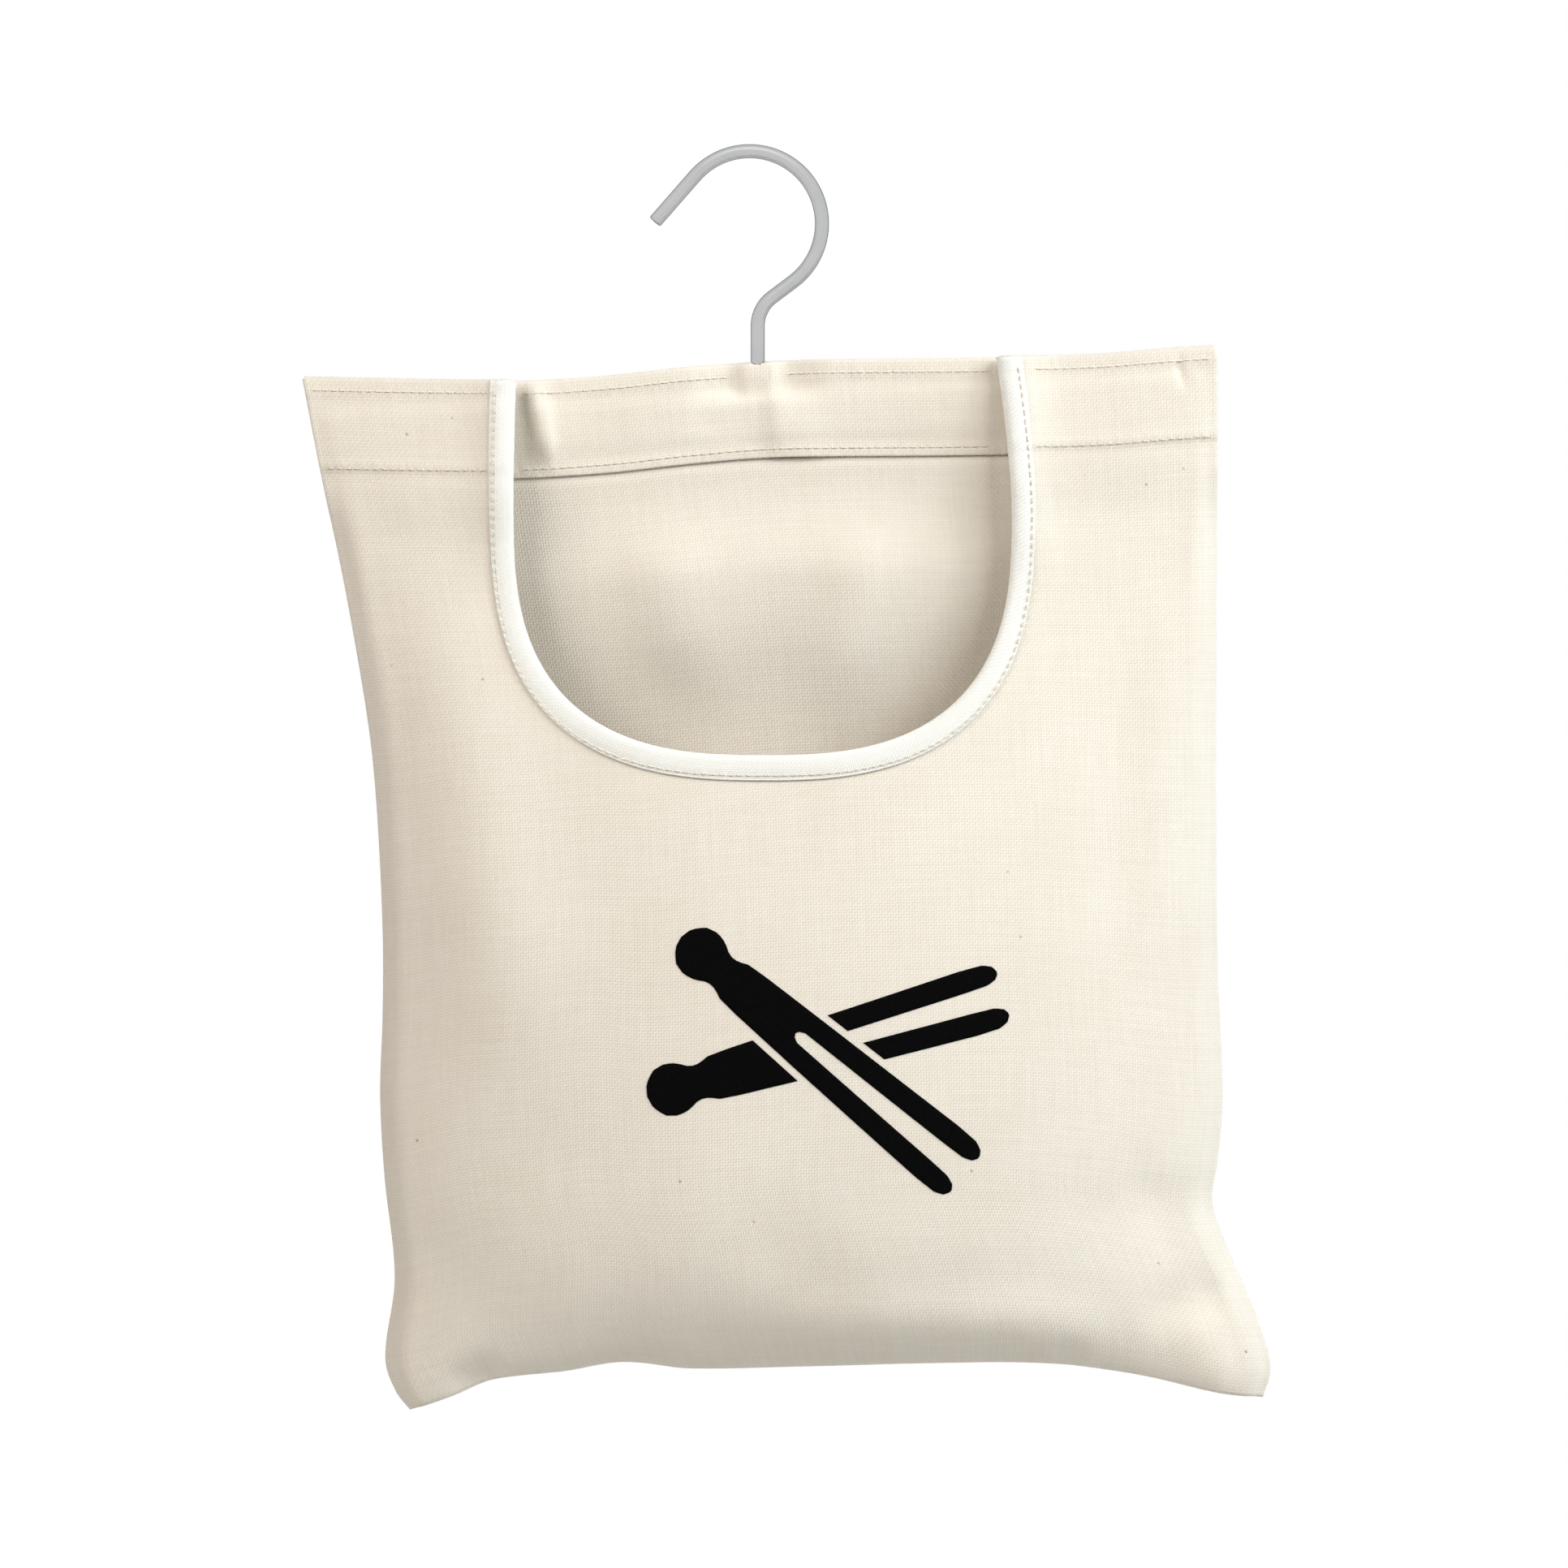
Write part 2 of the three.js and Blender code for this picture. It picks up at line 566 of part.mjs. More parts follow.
// Hanger bar: rounded along its edges, bored square to its length for the hook, with a wider
// recess from below that takes the washer and the hook's head.
const recessRadius = washerRadius + bearingGap;
const recessDepth = bearingGap + washerThickness + touchGap + headHeight;
function boring(radius, from, to) {
  const hole = new THREE.CylinderGeometry(radius, radius, to - from, 24);
  hole.rotateX(Math.PI / 2);
  hole.translate(0, 0, (from + to) / 2);
  return toSolid(hole);
}
function barGeometry() {
  const across = barThickness / 2 - barEdgeRadius;
  const low = barEdgeRadius - barHeight;
  const quarter = Math.PI / 2;
  const section = new THREE.Shape();
  section.absarc(across, -barEdgeRadius, barEdgeRadius, 0, quarter);
  section.absarc(-across, -barEdgeRadius, barEdgeRadius, quarter, 2 * quarter);
  section.absarc(-across, low, barEdgeRadius, 2 * quarter, 3 * quarter);
  section.absarc(across, low, barEdgeRadius, 3 * quarter, 4 * quarter);
  const depth = barLength;
  const body = new THREE.ExtrudeGeometry(section, { depth, bevelEnabled: false, curveSegments: 5 });
  body.translate(0, 0, -barLength / 2);
  body.rotateX(quarter);
  body.rotateZ(quarter);
  const hole = boring(barHoleRadius, -barHeight - cutOverrun, cutOverrun);
  const recess = boring(recessRadius, -barHeight - cutOverrun, recessDepth - barHeight);
  return toGeometry(toSolid(body).subtract(hole).subtract(recess));
}

const root = new THREE.Group();
const bag = new THREE.Group();
bag.position.set(shankOffset, 0, -hookRise);
root.add(bag);

// The bar hangs on the washer, and the washer on the hook's head.
const seatZ = -hookRise - barDrop - (barHeight - recessDepth) / Math.cos(barTilt);
const headTop = seatZ - bearingGap - washerThickness - touchGap;
addMesh(root, "hook", hookGeometry(headTop), "steel");
const washer = addMesh(root, "hook_washer", washerGeometry(), "steel");
washer.position.set(shankOffset, 0, headTop + touchGap);
const bar = addMesh(bag, "hanger_bar", barGeometry(), "beech");
bar.position.set(-(barHeight - recessDepth) * Math.sin(barTilt), 0, -barDrop);
bar.rotation.y = -barTilt;

// Panels: the back with the slit its shank comes out of, the front with the mouth cut out.
const slit = boring(wireRadius + slitClearance, -barDrop, cutOverrun);
const edgeNear = 0.8 * touchGap;
const edgeFar = edgeNear + 0.9 * clothThickness;
const back = backSheet().subtract(slit).add(seamEdge(edgeNear, edgeFar));
addMesh(bag, "back_panel", toGeometry(back), "canvas");
const mouthCut = slab(spread(64, (s) => mouthPlace(s, cutInset)), -2 * frontDepth, cutOverrun);
const front = frontSheet().subtract(mouthCut).add(seamEdge(-edgeFar, -edgeNear));
addMesh(bag, "front_panel", toGeometry(front), "canvas");
addMesh(bag, "opening_binding", bindingTape(), "binding");

// Stitch rows
const pathAtDrop = (fromX, toX, drop, count) => {
  return spread(count, (s) => {
    const x = mix(fromX, toX, s);
    return { x, z: topZ(x) - drop };
  });
};
const seamClear = seamAllowance / 2;
const neckLeft = mouthOffset - mouthHalfWidth + neckClosingLeft;
const neckRight = mouthOffset + mouthHalfWidth - neckClosingRight;
const bindingClear = bindingWidth + threadWidth + touchGap;
const edgeLeft = leftX(-topRowDrop) + seamClear;
const edgeRight = rightX(-topRowDrop) - seamClear;
const addRow = (name, path, face, side) => addMesh(bag, name, threadRow(path, face, side), "thread");
function addShoulderRows(side, from, to) {
  addRow(`${side}_shoulder_top_stitching`, pathAtDrop(from, to, topRowDrop, 12), frontOuter, -1);
  addRow(`${side}_shoulder_hem_stitching`, pathAtDrop(from, to, shoulderHemRowDrop, 12), frontOuter, -1);
}
addShoulderRows("left", edgeLeft + seamClear, neckLeft - bindingClear);
addShoulderRows("right", neckRight + bindingClear + neckClosingRight, edgeRight - seamClear);
const inLeft = neckLeft + bindingThickness + touchGap;
const inRight = neckRight - bindingThickness - touchGap;
addRow("left_casing_top_stitching", pathAtDrop(inLeft, -shankRoomReach, topRowDrop, 12), hemOuter, -1);
addRow("right_casing_top_stitching", pathAtDrop(shankRoomReach, inRight, topRowDrop, 12), hemOuter, -1);
addRow("casing_stitching", pathAtDrop(inLeft, inRight, casingRowDrop, 20), hemOuter, -1);
addRow("left_back_top_stitching", pathAtDrop(edgeLeft, -shankRoomReach, topRowDrop, 20), backOuter, 1);
addRow("right_back_top_stitching", pathAtDrop(shankRoomReach, edgeRight, topRowDrop, 20), backOuter, 1);
addRow("back_casing_stitching", pathAtDrop(edgeLeft, edgeRight, casingRowDrop, 36), backOuter, 1);
const rowInset = bindingWidth - bindingRowInset;
const bindingRow = mouthStations().slice(1, -1).map((share) => mouthPlace(share, rowInset));
addRow("binding_stitching", bindingRow, bindingFront(bindingEase + bindingThickness), -1);

// Overlock threads along the raw edges inside the pouch
function overlock(places, inward) {
  const rings = places.map((place, i) => {
    const before = places[Math.max(i - 1, 0)];
    const after = places[Math.min(i + 1, places.length - 1)];
    const along = new THREE.Vector2(after.x - before.x, after.z - before.z).normalize();
    const point = (reach, y) => {
      return new THREE.Vector3(place.x + inward * reach * along.y, y, place.z - inward * reach * along.x);
    };
    const [near, far] = [touchGap, touchGap + overlockWidth];
    const half = overlockHeight / 2;
    return [point(near, -half), point(far, -half), point(far, half), point(near, half)];
  });
  return skin(rings);
}
const rawEdge = allowancePlaces(seamAllowance);
addMesh(bag, "left_seam_overlock", overlock(rawEdge.left.slice(1, -1), -1), "thread");
addMesh(bag, "right_seam_overlock", overlock(rawEdge.right.slice(1, -1), 1), "thread");
addMesh(bag, "bottom_seam_overlock", overlock(rawEdge.bottom.slice(1, -1), -1), "thread");

export default root;
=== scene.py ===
import math
import random

import bmesh
import bpy
import numpy as np
from mathutils import Matrix, Vector


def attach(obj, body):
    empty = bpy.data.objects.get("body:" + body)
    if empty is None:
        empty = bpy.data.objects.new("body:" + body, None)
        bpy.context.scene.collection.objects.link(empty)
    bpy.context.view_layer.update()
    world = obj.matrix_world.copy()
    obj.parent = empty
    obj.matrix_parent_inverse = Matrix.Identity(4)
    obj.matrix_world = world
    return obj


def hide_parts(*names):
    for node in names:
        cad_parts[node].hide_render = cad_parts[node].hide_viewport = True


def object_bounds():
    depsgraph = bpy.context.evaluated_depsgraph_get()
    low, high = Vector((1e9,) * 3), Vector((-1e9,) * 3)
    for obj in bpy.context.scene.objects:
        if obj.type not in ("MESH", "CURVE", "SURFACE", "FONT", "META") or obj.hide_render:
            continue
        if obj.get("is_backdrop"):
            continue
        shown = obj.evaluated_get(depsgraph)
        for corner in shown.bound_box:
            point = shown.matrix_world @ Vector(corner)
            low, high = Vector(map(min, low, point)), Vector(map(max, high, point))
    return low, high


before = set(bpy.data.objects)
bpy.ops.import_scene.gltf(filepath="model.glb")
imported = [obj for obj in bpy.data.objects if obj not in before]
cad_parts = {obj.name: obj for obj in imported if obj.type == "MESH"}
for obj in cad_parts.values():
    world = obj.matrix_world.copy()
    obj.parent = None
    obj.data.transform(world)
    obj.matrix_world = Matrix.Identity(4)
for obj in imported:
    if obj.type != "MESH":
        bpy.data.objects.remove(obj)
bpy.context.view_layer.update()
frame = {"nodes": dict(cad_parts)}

print("frame loaded:", ", ".join(frame["nodes"]))

# Sizes are millimetres. On the cloth x is counted from the hook's shank and z from the top
# edge there; toFrame turns them into metres in the frame.
hang = {"shankX": 2.8, "topZ": -69.7}
bag = {
    "width": 312, "height": 354, "frontDepth": 36, "backDepth": 22,
    "cloth": 0.8, "allowance": 10, "gap": 0.3,
    "hem": 33.5, "hemStep": 4, "hemFade": 24, "turnRoom": 1.3,
    "topRow": 4.7, "casingRow": 30.4, "shoulderRow": 31.2,
    "fullest": 0.7, "sideSquareness": 2.3, "bottomSquareness": 2.6,
    "sideRound": 0.9, "topRound": 1.3, "bottomRound": 0.6, "steepest": 2.2,
    "fullSide": 0.86,  # below 1 the pouch is fuller on its left
}
casing = {
    "barDrop": 14.6, "barTilt": math.radians(2.6), "barHeight": 10, "room": 5.8,
    "edge": 1.5, "parting": 5.5, "thread": 0.7, "shankReach": 10, "shankFlat": 3.9,
    "shankRoom": 2.8, "holeEase": 0.1, "holeGather": 0.6, "seamRoom": 0.35, "edgeRoom": 1.4,
    "underHem": 0.7,  # the wall rises below the hem, so that the hem throws only a thin shadow
    # the cloth is drawn forward round the bar, so that the casing looks flat from the front
    "sideReach": 8.4, "forward": 4.9, "forwardShank": 26,
    "forwardFade": 30, "backFade": 150,
}
mouth = {
    "half": 84.2, "offset": 1.8, "sideDrop": 53.6, "round": 80.8, "squareness": 2.7,
    "closingLeft": 0.9, "closingRight": 5.8, "rise": 58.6, "cut": 1.5,
    "sideShare": 0.22, "closingPower": 1.5,
}

# The hanging bag's outline, in shares of its width and height
outline = {
    "top": [
        (-0.498, -0.0155), (-0.342, -0.019), (-0.2615, -0.0195), (-0.1635, -0.0141),
        (-0.0744, -0.0056), (0, 0), (0.0593, 0.0015), (0.237, 0.003), (0.371, 0.0062),
        (0.46, 0.0124), (0.5022, 0.015),
    ],
    "bottom": [
        (-0.381, -1.013), (-0.3327, -0.998), (-0.288, -0.982), (-0.208, -0.973),
        (-0.1474, -0.9644), (-0.0744, -0.9706), (0.0593, -0.9684), (0.193, -0.9653),
        (0.317, -0.9658), (0.415, -0.977), (0.504, -0.995), (0.554, -1.0006),
    ],
    "left": [
        (-1.013, -0.381), (-0.995, -0.3968), (-0.9636, -0.4083), (-0.885, -0.3978),
        (-0.787, -0.409), (-0.7085, -0.4138), (-0.63, -0.411), (-0.5517, -0.411),
        (-0.434, -0.4173), (-0.3554, -0.426), (-0.2378, -0.4484), (-0.12, -0.475),
        (-0.0155, -0.498),
    ],
    "right": [
        (-1.0006, 0.554), (-0.9715, 0.5622), (-0.928, 0.5487), (-0.889, 0.531),
        (-0.85, 0.5115), (-0.811, 0.498), (-0.771, 0.5042), (-0.7085, 0.5096),
        (-0.591, 0.5042), (-0.434, 0.5026), (-0.277, 0.5026), (-0.12, 0.5035),
        (0.015, 0.5022),
    ],
}

# Ranges in mm over which one form of the cloth passes into another
passes = {
    # the turned edges in the seams swell the cloth beside them
    "seamSwell": 14, "seamSwellTop": 12, "bottomShare": 0.9,
    "flapInMouth": (-14, -4), "flapValley": -0.5,
    "overEdge": (2, 9), "pastEdge": (13, 28), "edgeDrop": (34, 47),
    "hemRise": 2.2, "hemFall": (4, 26), "hemRiseSide": (30, 50),
    "sideFade": (20, 60), "backHang": 40, "backSide": 30, "frontSide": 12,
    "foldEnds": 0.4,  # share of a fold's length
}
unevenness = {
    "waves": 7, "lengths": (0.6, 1.8), "back": (0.7, 5, 70), "front": (0.6, 3, 60),  # height, seed, length
}

# Folds: (path of points, half width, height); a height below 0 is a valley
folds = {
    "front": [
        ([(-116, -30), (-104, -120), (-93, -195), (-90, -270)], 23, 4.8),  # along the left flank
        ([(-88, 20), (-88, -40), (-92, -84)], 8, 3),  # the mouth's sides stand off
        ([(87, 25), (88, -40), (93, -84)], 8, 4.2),
        ([(-88, 40), (-92, -40), (-92, -90)], 32, 3.5),
        ([(144.6, 3.5), (143.4, -2), (144.6, -6), (147, -11)], 1.6, -1.1),  # pucker of the top corner
        ([(-121, -290), (-92, -322)], 13, -0.8),
        ([(-15, -290), (41, -321)], 15, -1.6),
        ([(124, -262), (137, -296), (148, -326)], 9, -1.4),  # pull to the right ear
        ([(166, -314), (150, -320), (128, -329)], 10, -2.6),
        ([(136, -318), (150, -335), (166, -358)], 10, 2.2),
        ([(98, -334), (114, -342)], 4.5, -1.4),
        ([(124, -66), (122, -240)], 9, -0.7),
        ([(141, -60), (138, -250)], 9, 0.8),
        ([(-130, -318), (-60, -316), (0, -314), (60, -314), (140, -318)], 27, 3.2),  # sag over the bottom
        ([(-20, -328), (84, -326), (146, -333)], 11, 3.2),
        ([(30, -329), (88, -330), (146, -338)], 10, 1.2),
        ([(-108, -350), (-84, -341)], 5, -3.5),  # dimple above the left ear
        ([(-46, -340), (-24, -343)], 3.5, -1.3),
    ],
    "flap": [
        ([(5, 2), (6, -14), (7, -40)], 4, 1.1),  # hangs from the hook
        ([(8, -4), (12, -20), (18, -44)], 8, 1.3),
        ([(-11, 0), (-13, -30)], 7, -1.1),
        ([(-79, -3), (-74, -18), (-70, -40)], 2.8, 4.1),
    ],
    "back": [
        ([(11, 0), (11, -245)], 74, -12),  # drawn forward behind the mouth
        ([(-38, -34), (-32, -72), (-18, -132)], 17, -3.4),  # in two soft lobes
        ([(39, -38), (37, -78), (25, -138)], 17, -3.4),
        ([(-20, -170), (0, -250)], 26, 2.2),
        ([(40, -150), (30, -230)], 24, 1.8),
        ([(-110, -120), (-100, -280)], 16, 1.6),
        ([(150, -280), (140, -325)], 11, -3),
    ],
}


def through(rows):  # a smooth curve through a table's rows
    places, values = np.array(rows, float).T
    before = np.maximum(np.arange(len(places)) - 1, 0)
    after = np.minimum(np.arange(len(places)) + 1, len(places) - 1)
    rises = (values[after] - values[before]) / (places[after] - places[before])

    def curve(place):
        p = np.clip(place, places[0], places[-1])
        i = np.clip(np.searchsorted(places, p, side="right") - 1, 0, len(places) - 2)
        span = places[i + 1] - places[i]
        s = (p - places[i]) / span
        start = values[i] * (1 + 2 * s) * (1 - s) ** 2 + rises[i] * span * s * (1 - s) ** 2
        end = values[i + 1] * (3 - 2 * s) * s ** 2 + rises[i + 1] * span * (s - 1) * s ** 2
        return start + end

    return curve


curves = {side: through(rows) for side, rows in outline.items()}


def topZ(x):
    return bag["height"] * curves["top"](x / bag["width"])


def bottomZ(x):
    return bag["height"] * curves["bottom"](x / bag["width"])


def leftX(z):
    return bag["width"] * curves["left"](z / bag["height"])


def rightX(z):
    return bag["width"] * curves["right"](z / bag["height"])


def mix(a, b, share):
    return a + (b - a) * share


def ramp(start, end, value):
    s = np.clip((value - start) / (end - start), 0, 1)
    return s * s * (3 - 2 * s)


def halfTurn(share):  # runs from 0 to 1 as a turn of cloth runs from one layer to the other
    return (1 - np.cos(math.pi * share)) / 2


def hemPlace(across, drop):
    z = -drop + 0 * across
    for _ in range(4):
        x = mix(leftX(z), rightX(z), across)
        z = topZ(x) - drop
    return x, z


def pouchPlace(across, down):  # down is 0 at the hem's edge and 1 at the bottom seam
    startDrop = bag["hem"] + bag["gap"] / 2
    hemX, hemZ = hemPlace(across, startDrop)
    cornerX, cornerZ = hemPlace(np.array([0.0, 1.0]), startDrop)
    lowX = [outline["bottom"][i][0] * bag["width"] for i in (0, -1)]
    lowZ = [outline["bottom"][i][1] * bag["height"] for i in (0, -1)]
    bottomX = mix(*lowX, across)
    leftZ, rightZ = mix(cornerZ[0], lowZ[0], down), mix(cornerZ[1], lowZ[1], down)

    def blend(hem, low, left, right, corners, lowCorners):
        edges = mix(hem, low, down) + mix(left, right, across)
        return edges - mix(mix(*corners, across), mix(*lowCorners, across), down)

    x = blend(hemX, bottomX, leftX(leftZ), rightX(rightZ), cornerX, lowX)
    return x, blend(hemZ, bottomZ(bottomX), leftZ, rightZ, cornerZ, lowZ)


def sideDistance(x, z):
    return np.minimum(x - leftX(z), rightX(z) - x)


def swell(x, z, startDrop):  # 0 at the seams and 1 where the pouch is fullest
    height = topZ(x) - bottomZ(x)
    level = np.clip((topZ(x) - z - startDrop) / (height - startDrop), 0, 1)
    across = np.clip((x - leftX(z)) / (rightX(z) - leftX(z)), 0, 1)
    lens = (1 - np.abs(2 * across ** bag["fullSide"] - 1) ** bag["sideSquareness"]) ** bag["sideRound"]
    rise = np.sin(math.pi / 2 * np.minimum(level / bag["fullest"], 1)) ** bag["topRound"]
    fall = np.maximum((level - bag["fullest"]) / (1 - bag["fullest"]), 0)
    return lens * rise * np.maximum(1 - fall ** bag["bottomSquareness"], 0) ** bag["bottomRound"]


def slopes(face, x, z, step):  # along x and along z
    alongX = (face(x + step, z) - face(x - step, z)) / (2 * step)
    return alongX, (face(x, z + step) - face(x, z - step)) / (2 * step)


def slant(face, x, z):  # how much longer a thickness is along y than square to the cloth
    alongX, alongZ = slopes(face, x, z, 1)
    return np.minimum(np.sqrt(1 + alongX ** 2 + alongZ ** 2), bag["steepest"])


def depthIntoBar(x, z):
    tilt = casing["barTilt"]
    return (x * math.tan(tilt) - casing["barDrop"] - z) * math.cos(tilt)


def offSeam(x, z):
    return ramp(bag["gap"], casing["sideReach"], sideDistance(x, z))


def opened(x, z):  # 0 above the bar and 1 beside it
    return ramp(-casing["parting"], casing["edge"] / 3, depthIntoBar(x, z))


def closed(x, z):  # 0 beside the bar and 1 at the casing's row
    depth = depthIntoBar(x, z)
    rowDepth = depth + bag["casingRow"] - (topZ(x) - z) - casing["thread"]
    return ramp(casing["barHeight"] - casing["edge"] / 2, rowDepth, depth)


def barBulge(x, z):
    return mix(bag["gap"] / 2, casing["room"], opened(x, z) * offSeam(x, z))


def casingWall(x, z):
    nearShank = 1 - ramp(casing["shankFlat"], casing["shankReach"], np.abs(x))
    room = np.maximum(barBulge(x, z), nearShank * casing["shankRoom"])
    return mix(room, bag["gap"] / 2, closed(x, z))


def forward(x, z, fade=casing["forwardFade"], sewn=True):  # sewn: held to the casing's row too
    above = (1 - opened(x, z)) * ramp(casing["shankFlat"], casing["forwardShank"], np.abs(x))
    below = closed(x, z) * sewn
    beside = 1 - ramp(0, casing["sideReach"], sideDistance(x, z))
    share = 1 - (1 - above) * (1 - below) * (1 - beside)
    fade = mix(casing["forwardFade"], fade, ramp(*passes["sideFade"], sideDistance(x, z)))
    return casing["forward"] * share * (1 - ramp(bag["hem"], bag["hem"] + fade, topZ(x) - z))


def foldLift(strokes, x, z):
    lift = 0 * x
    for points, width, height in strokes:
        path = np.array(points, float)
        lengths = np.linalg.norm(np.diff(path, axis=0), axis=1)
        nearest, share = 1e9 + 0 * x, 0 * x
        for i, length in enumerate(lengths):
            runX, runZ = (path[i + 1] - path[i]) / length
            s = np.clip((x - path[i][0]) * runX + (z - path[i][1]) * runZ, 0, length)
            away = np.hypot(x - path[i][0] - s * runX, z - path[i][1] - s * runZ)
            closer = away < nearest
            nearest = np.where(closer, away, nearest)
            share = np.where(closer, (lengths[:i].sum() + s) / lengths.sum(), share)
        fade = ramp(0, passes["foldEnds"], share) * ramp(0, passes["foldEnds"], 1 - share)
        lift = lift + height * np.exp(-(nearest / width) ** 2) * fade
    return lift


def ripple(x, z, seed, size):  # slow unevenness of hanging cloth
    draw = random.Random(seed)
    waves = 0 * x
    for _ in range(unevenness["waves"]):
        angle, phase = draw.uniform(0, math.pi), draw.uniform(0, 2 * math.pi)
        length = size * draw.uniform(*unevenness["lengths"])
        waves = waves + np.sin(2 * math.pi * (x * math.cos(angle) + z * math.sin(angle)) / length + phase)
    return waves / unevenness["waves"]


def nearSeams(x, z):  # 1 at the side and bottom seams below the hem
    edge = np.minimum(sideDistance(x, z), (z - bottomZ(x)) * passes["bottomShare"])
    below = ramp(bag["hem"], bag["hem"] + passes["seamSwellTop"], topZ(x) - z)
    return (1 - ramp(0, passes["seamSwell"], edge)) * below


def flapSkin(x, z):  # the casing's front face
    base = lambda a, b: -casingWall(a, b) - forward(a, b)
    inMouth = ramp(*passes["flapInMouth"], mouth["half"] - np.abs(x - mouth["offset"]))
    shape = np.maximum(foldLift(folds["flap"], x, z), passes["flapValley"])  # a valley ends on the bar
    return base(x, z) - bag["cloth"] * slant(base, x, z) - shape * inMouth


def backBase(x, z):
    drop, beside = topZ(x) - z, sideDistance(x, z)
    room = casing["seamRoom"] * offSeam(x, z) * ramp(bag["casingRow"], bag["hem"] + bag["allowance"], drop)
    pouch = bag["backDepth"] * swell(x, z, bag["casingRow"])
    inner = casingWall(x, z) + room + pouch - forward(x, z, casing["backFade"])
    below = drop - bag["hem"]
    risen = ramp(0, passes["hemRise"], below) * (1 - ramp(*passes["hemFall"], below))
    inner = inner - casing["underHem"] * risen * ramp(*passes["hemRiseSide"], beside)
    overEdge = ramp(*passes["overEdge"], beside) * (1 - ramp(*passes["pastEdge"], beside))
    overEdge = overEdge * ramp(*passes["edgeDrop"], drop)
    return np.maximum(inner, mix(inner, casing["edgeRoom"], overEdge))  # clears the overlocked edges


def backSkin(x, z):  # the back panel's outer face
    height, seed, size = unevenness["back"]
    hanging = ramp(bag["hem"], bag["hem"] + passes["backHang"], topZ(x) - z)
    shape = foldLift(folds["back"], x, z) + height * ripple(x, z, seed, size)
    free = ramp(0, passes["backSide"], sideDistance(x, z)) * hanging
    thick = bag["cloth"] * slant(backBase, x, z)
    return backBase(x, z) + thick + bag["cloth"] * nearSeams(x, z) + shape * free


def frontBase(x, z):
    lean = slant(lambda a, b: -barBulge(a, b) - forward(a, b, sewn=False), x, z)
    turned = bag["turnRoom"] * ramp(bag["gap"], 3 * bag["allowance"], sideDistance(x, z))
    hemmed = 1 - ramp(bag["hem"] + bag["gap"], bag["hem"] + bag["hemFade"], topZ(x) - z)
    behind = (bag["cloth"] + bag["gap"] + turned) * lean * hemmed
    pouch = bag["frontDepth"] * swell(x, z, bag["topRow"])
    return -barBulge(x, z) - behind - pouch - forward(x, z, sewn=False)


def frontLayers(x, z):
    return 2 - ramp(bag["hem"] - bag["hemStep"], bag["hem"], topZ(x) - z)


def frontSkin(x, z):  # the front panel's outer face
    height, seed, size = unevenness["front"]
    thick = frontLayers(x, z) * bag["cloth"] * slant(frontBase, x, z)
    free = ramp(0, passes["frontSide"], sideDistance(x, z))
    shape = foldLift(folds["front"], x, z) + height * ripple(x, z, seed, size) * free
    return frontBase(x, z) - thick - bag["cloth"] * nearSeams(x, z) - shape


def mouthReach(x, z, inset):  # distance outside the mouth's edge, below 0 in the opening
    across = np.abs(x - mouth["offset"])
    closing = np.where(x < mouth["offset"], mouth["closingLeft"], mouth["closingRight"])
    up = np.clip((z + mouth["sideDrop"]) / mouth["rise"], 0, None)
    beside = across - (mouth["half"] + inset - closing * up ** mouth["closingPower"])
    power = mouth["squareness"]

    def level(a, b):
        wide = (np.abs(a - mouth["offset"]) / (mouth["half"] + inset)) ** power
        deep = (np.maximum(-mouth["sideDrop"] - b, 0) / (mouth["round"] + inset)) ** power
        return (wide + deep) ** (1 / power) - 1

    steep = np.hypot(*slopes(level, x, z, 0.1))
    below = level(x, z) / np.maximum(steep, 1e-4)
    return np.where(z > -mouth["sideDrop"], beside, below)


def mouthPlace(share, inset):  # along the mouth's edge, from the top of the left neck to the right
    side = mouth["sideShare"]
    if share < side or share > 1 - side:
        sign = -1 if share < side else 1
        closing = mouth["closingLeft"] if sign < 0 else mouth["closingRight"]
        up = 1 - min(share, 1 - share) / side
        half = mouth["half"] + inset - closing * up ** mouth["closingPower"]
        return mouth["offset"] + sign * half, -mouth["sideDrop"] + up * mouth["rise"]
    turn = math.pi * (1 + (share - side) / (1 - 2 * side))
    power = 2 / mouth["squareness"]
    outward = math.copysign(abs(math.cos(turn)) ** power, math.cos(turn))
    downward = abs(math.sin(turn)) ** power
    return (mouth["offset"] + (mouth["half"] + inset) * outward,
            -mouth["sideDrop"] - (mouth["round"] + inset) * downward)


def toFrame(x, y, z):
    return Vector(((x + hang["shankX"]) / 1000, y / 1000, (z + hang["topZ"]) / 1000))


def linear(hexColour):  # an sRGB hex value as linear RGBA
    parts = [int(hexColour[i:i + 2], 16) / 255 for i in (1, 3, 5)]
    return [c / 12.92 if c <= 0.04045 else ((c + 0.055) / 1.055) ** 2.4 for c in parts] + [1]


def addNode(tree, kind, links, **settings):  # gives the new node's outputs
    node = tree.nodes.new(kind)
    for name, value in settings.items():
        setattr(node, name, value)
    for name, value in links.items():
        if isinstance(value, bpy.types.NodeSocket):
            tree.links.new(value, node.inputs[name])
        else:
            node.inputs[name].default_value = linear(value) if isinstance(value, str) else value
    return node.outputs


def newMaterial(name, layer=None):  # with its tree and the place on the object or its UV layer
    material = bpy.data.materials.new(name)
    material.use_nodes = True
    tree = material.node_tree
    tree.nodes.clear()
    if layer:
        return material, tree, addNode(tree, "ShaderNodeUVMap", {}, uv_map=layer)[0]
    return material, tree, addNode(tree, "ShaderNodeTexCoord", {})["Object"]


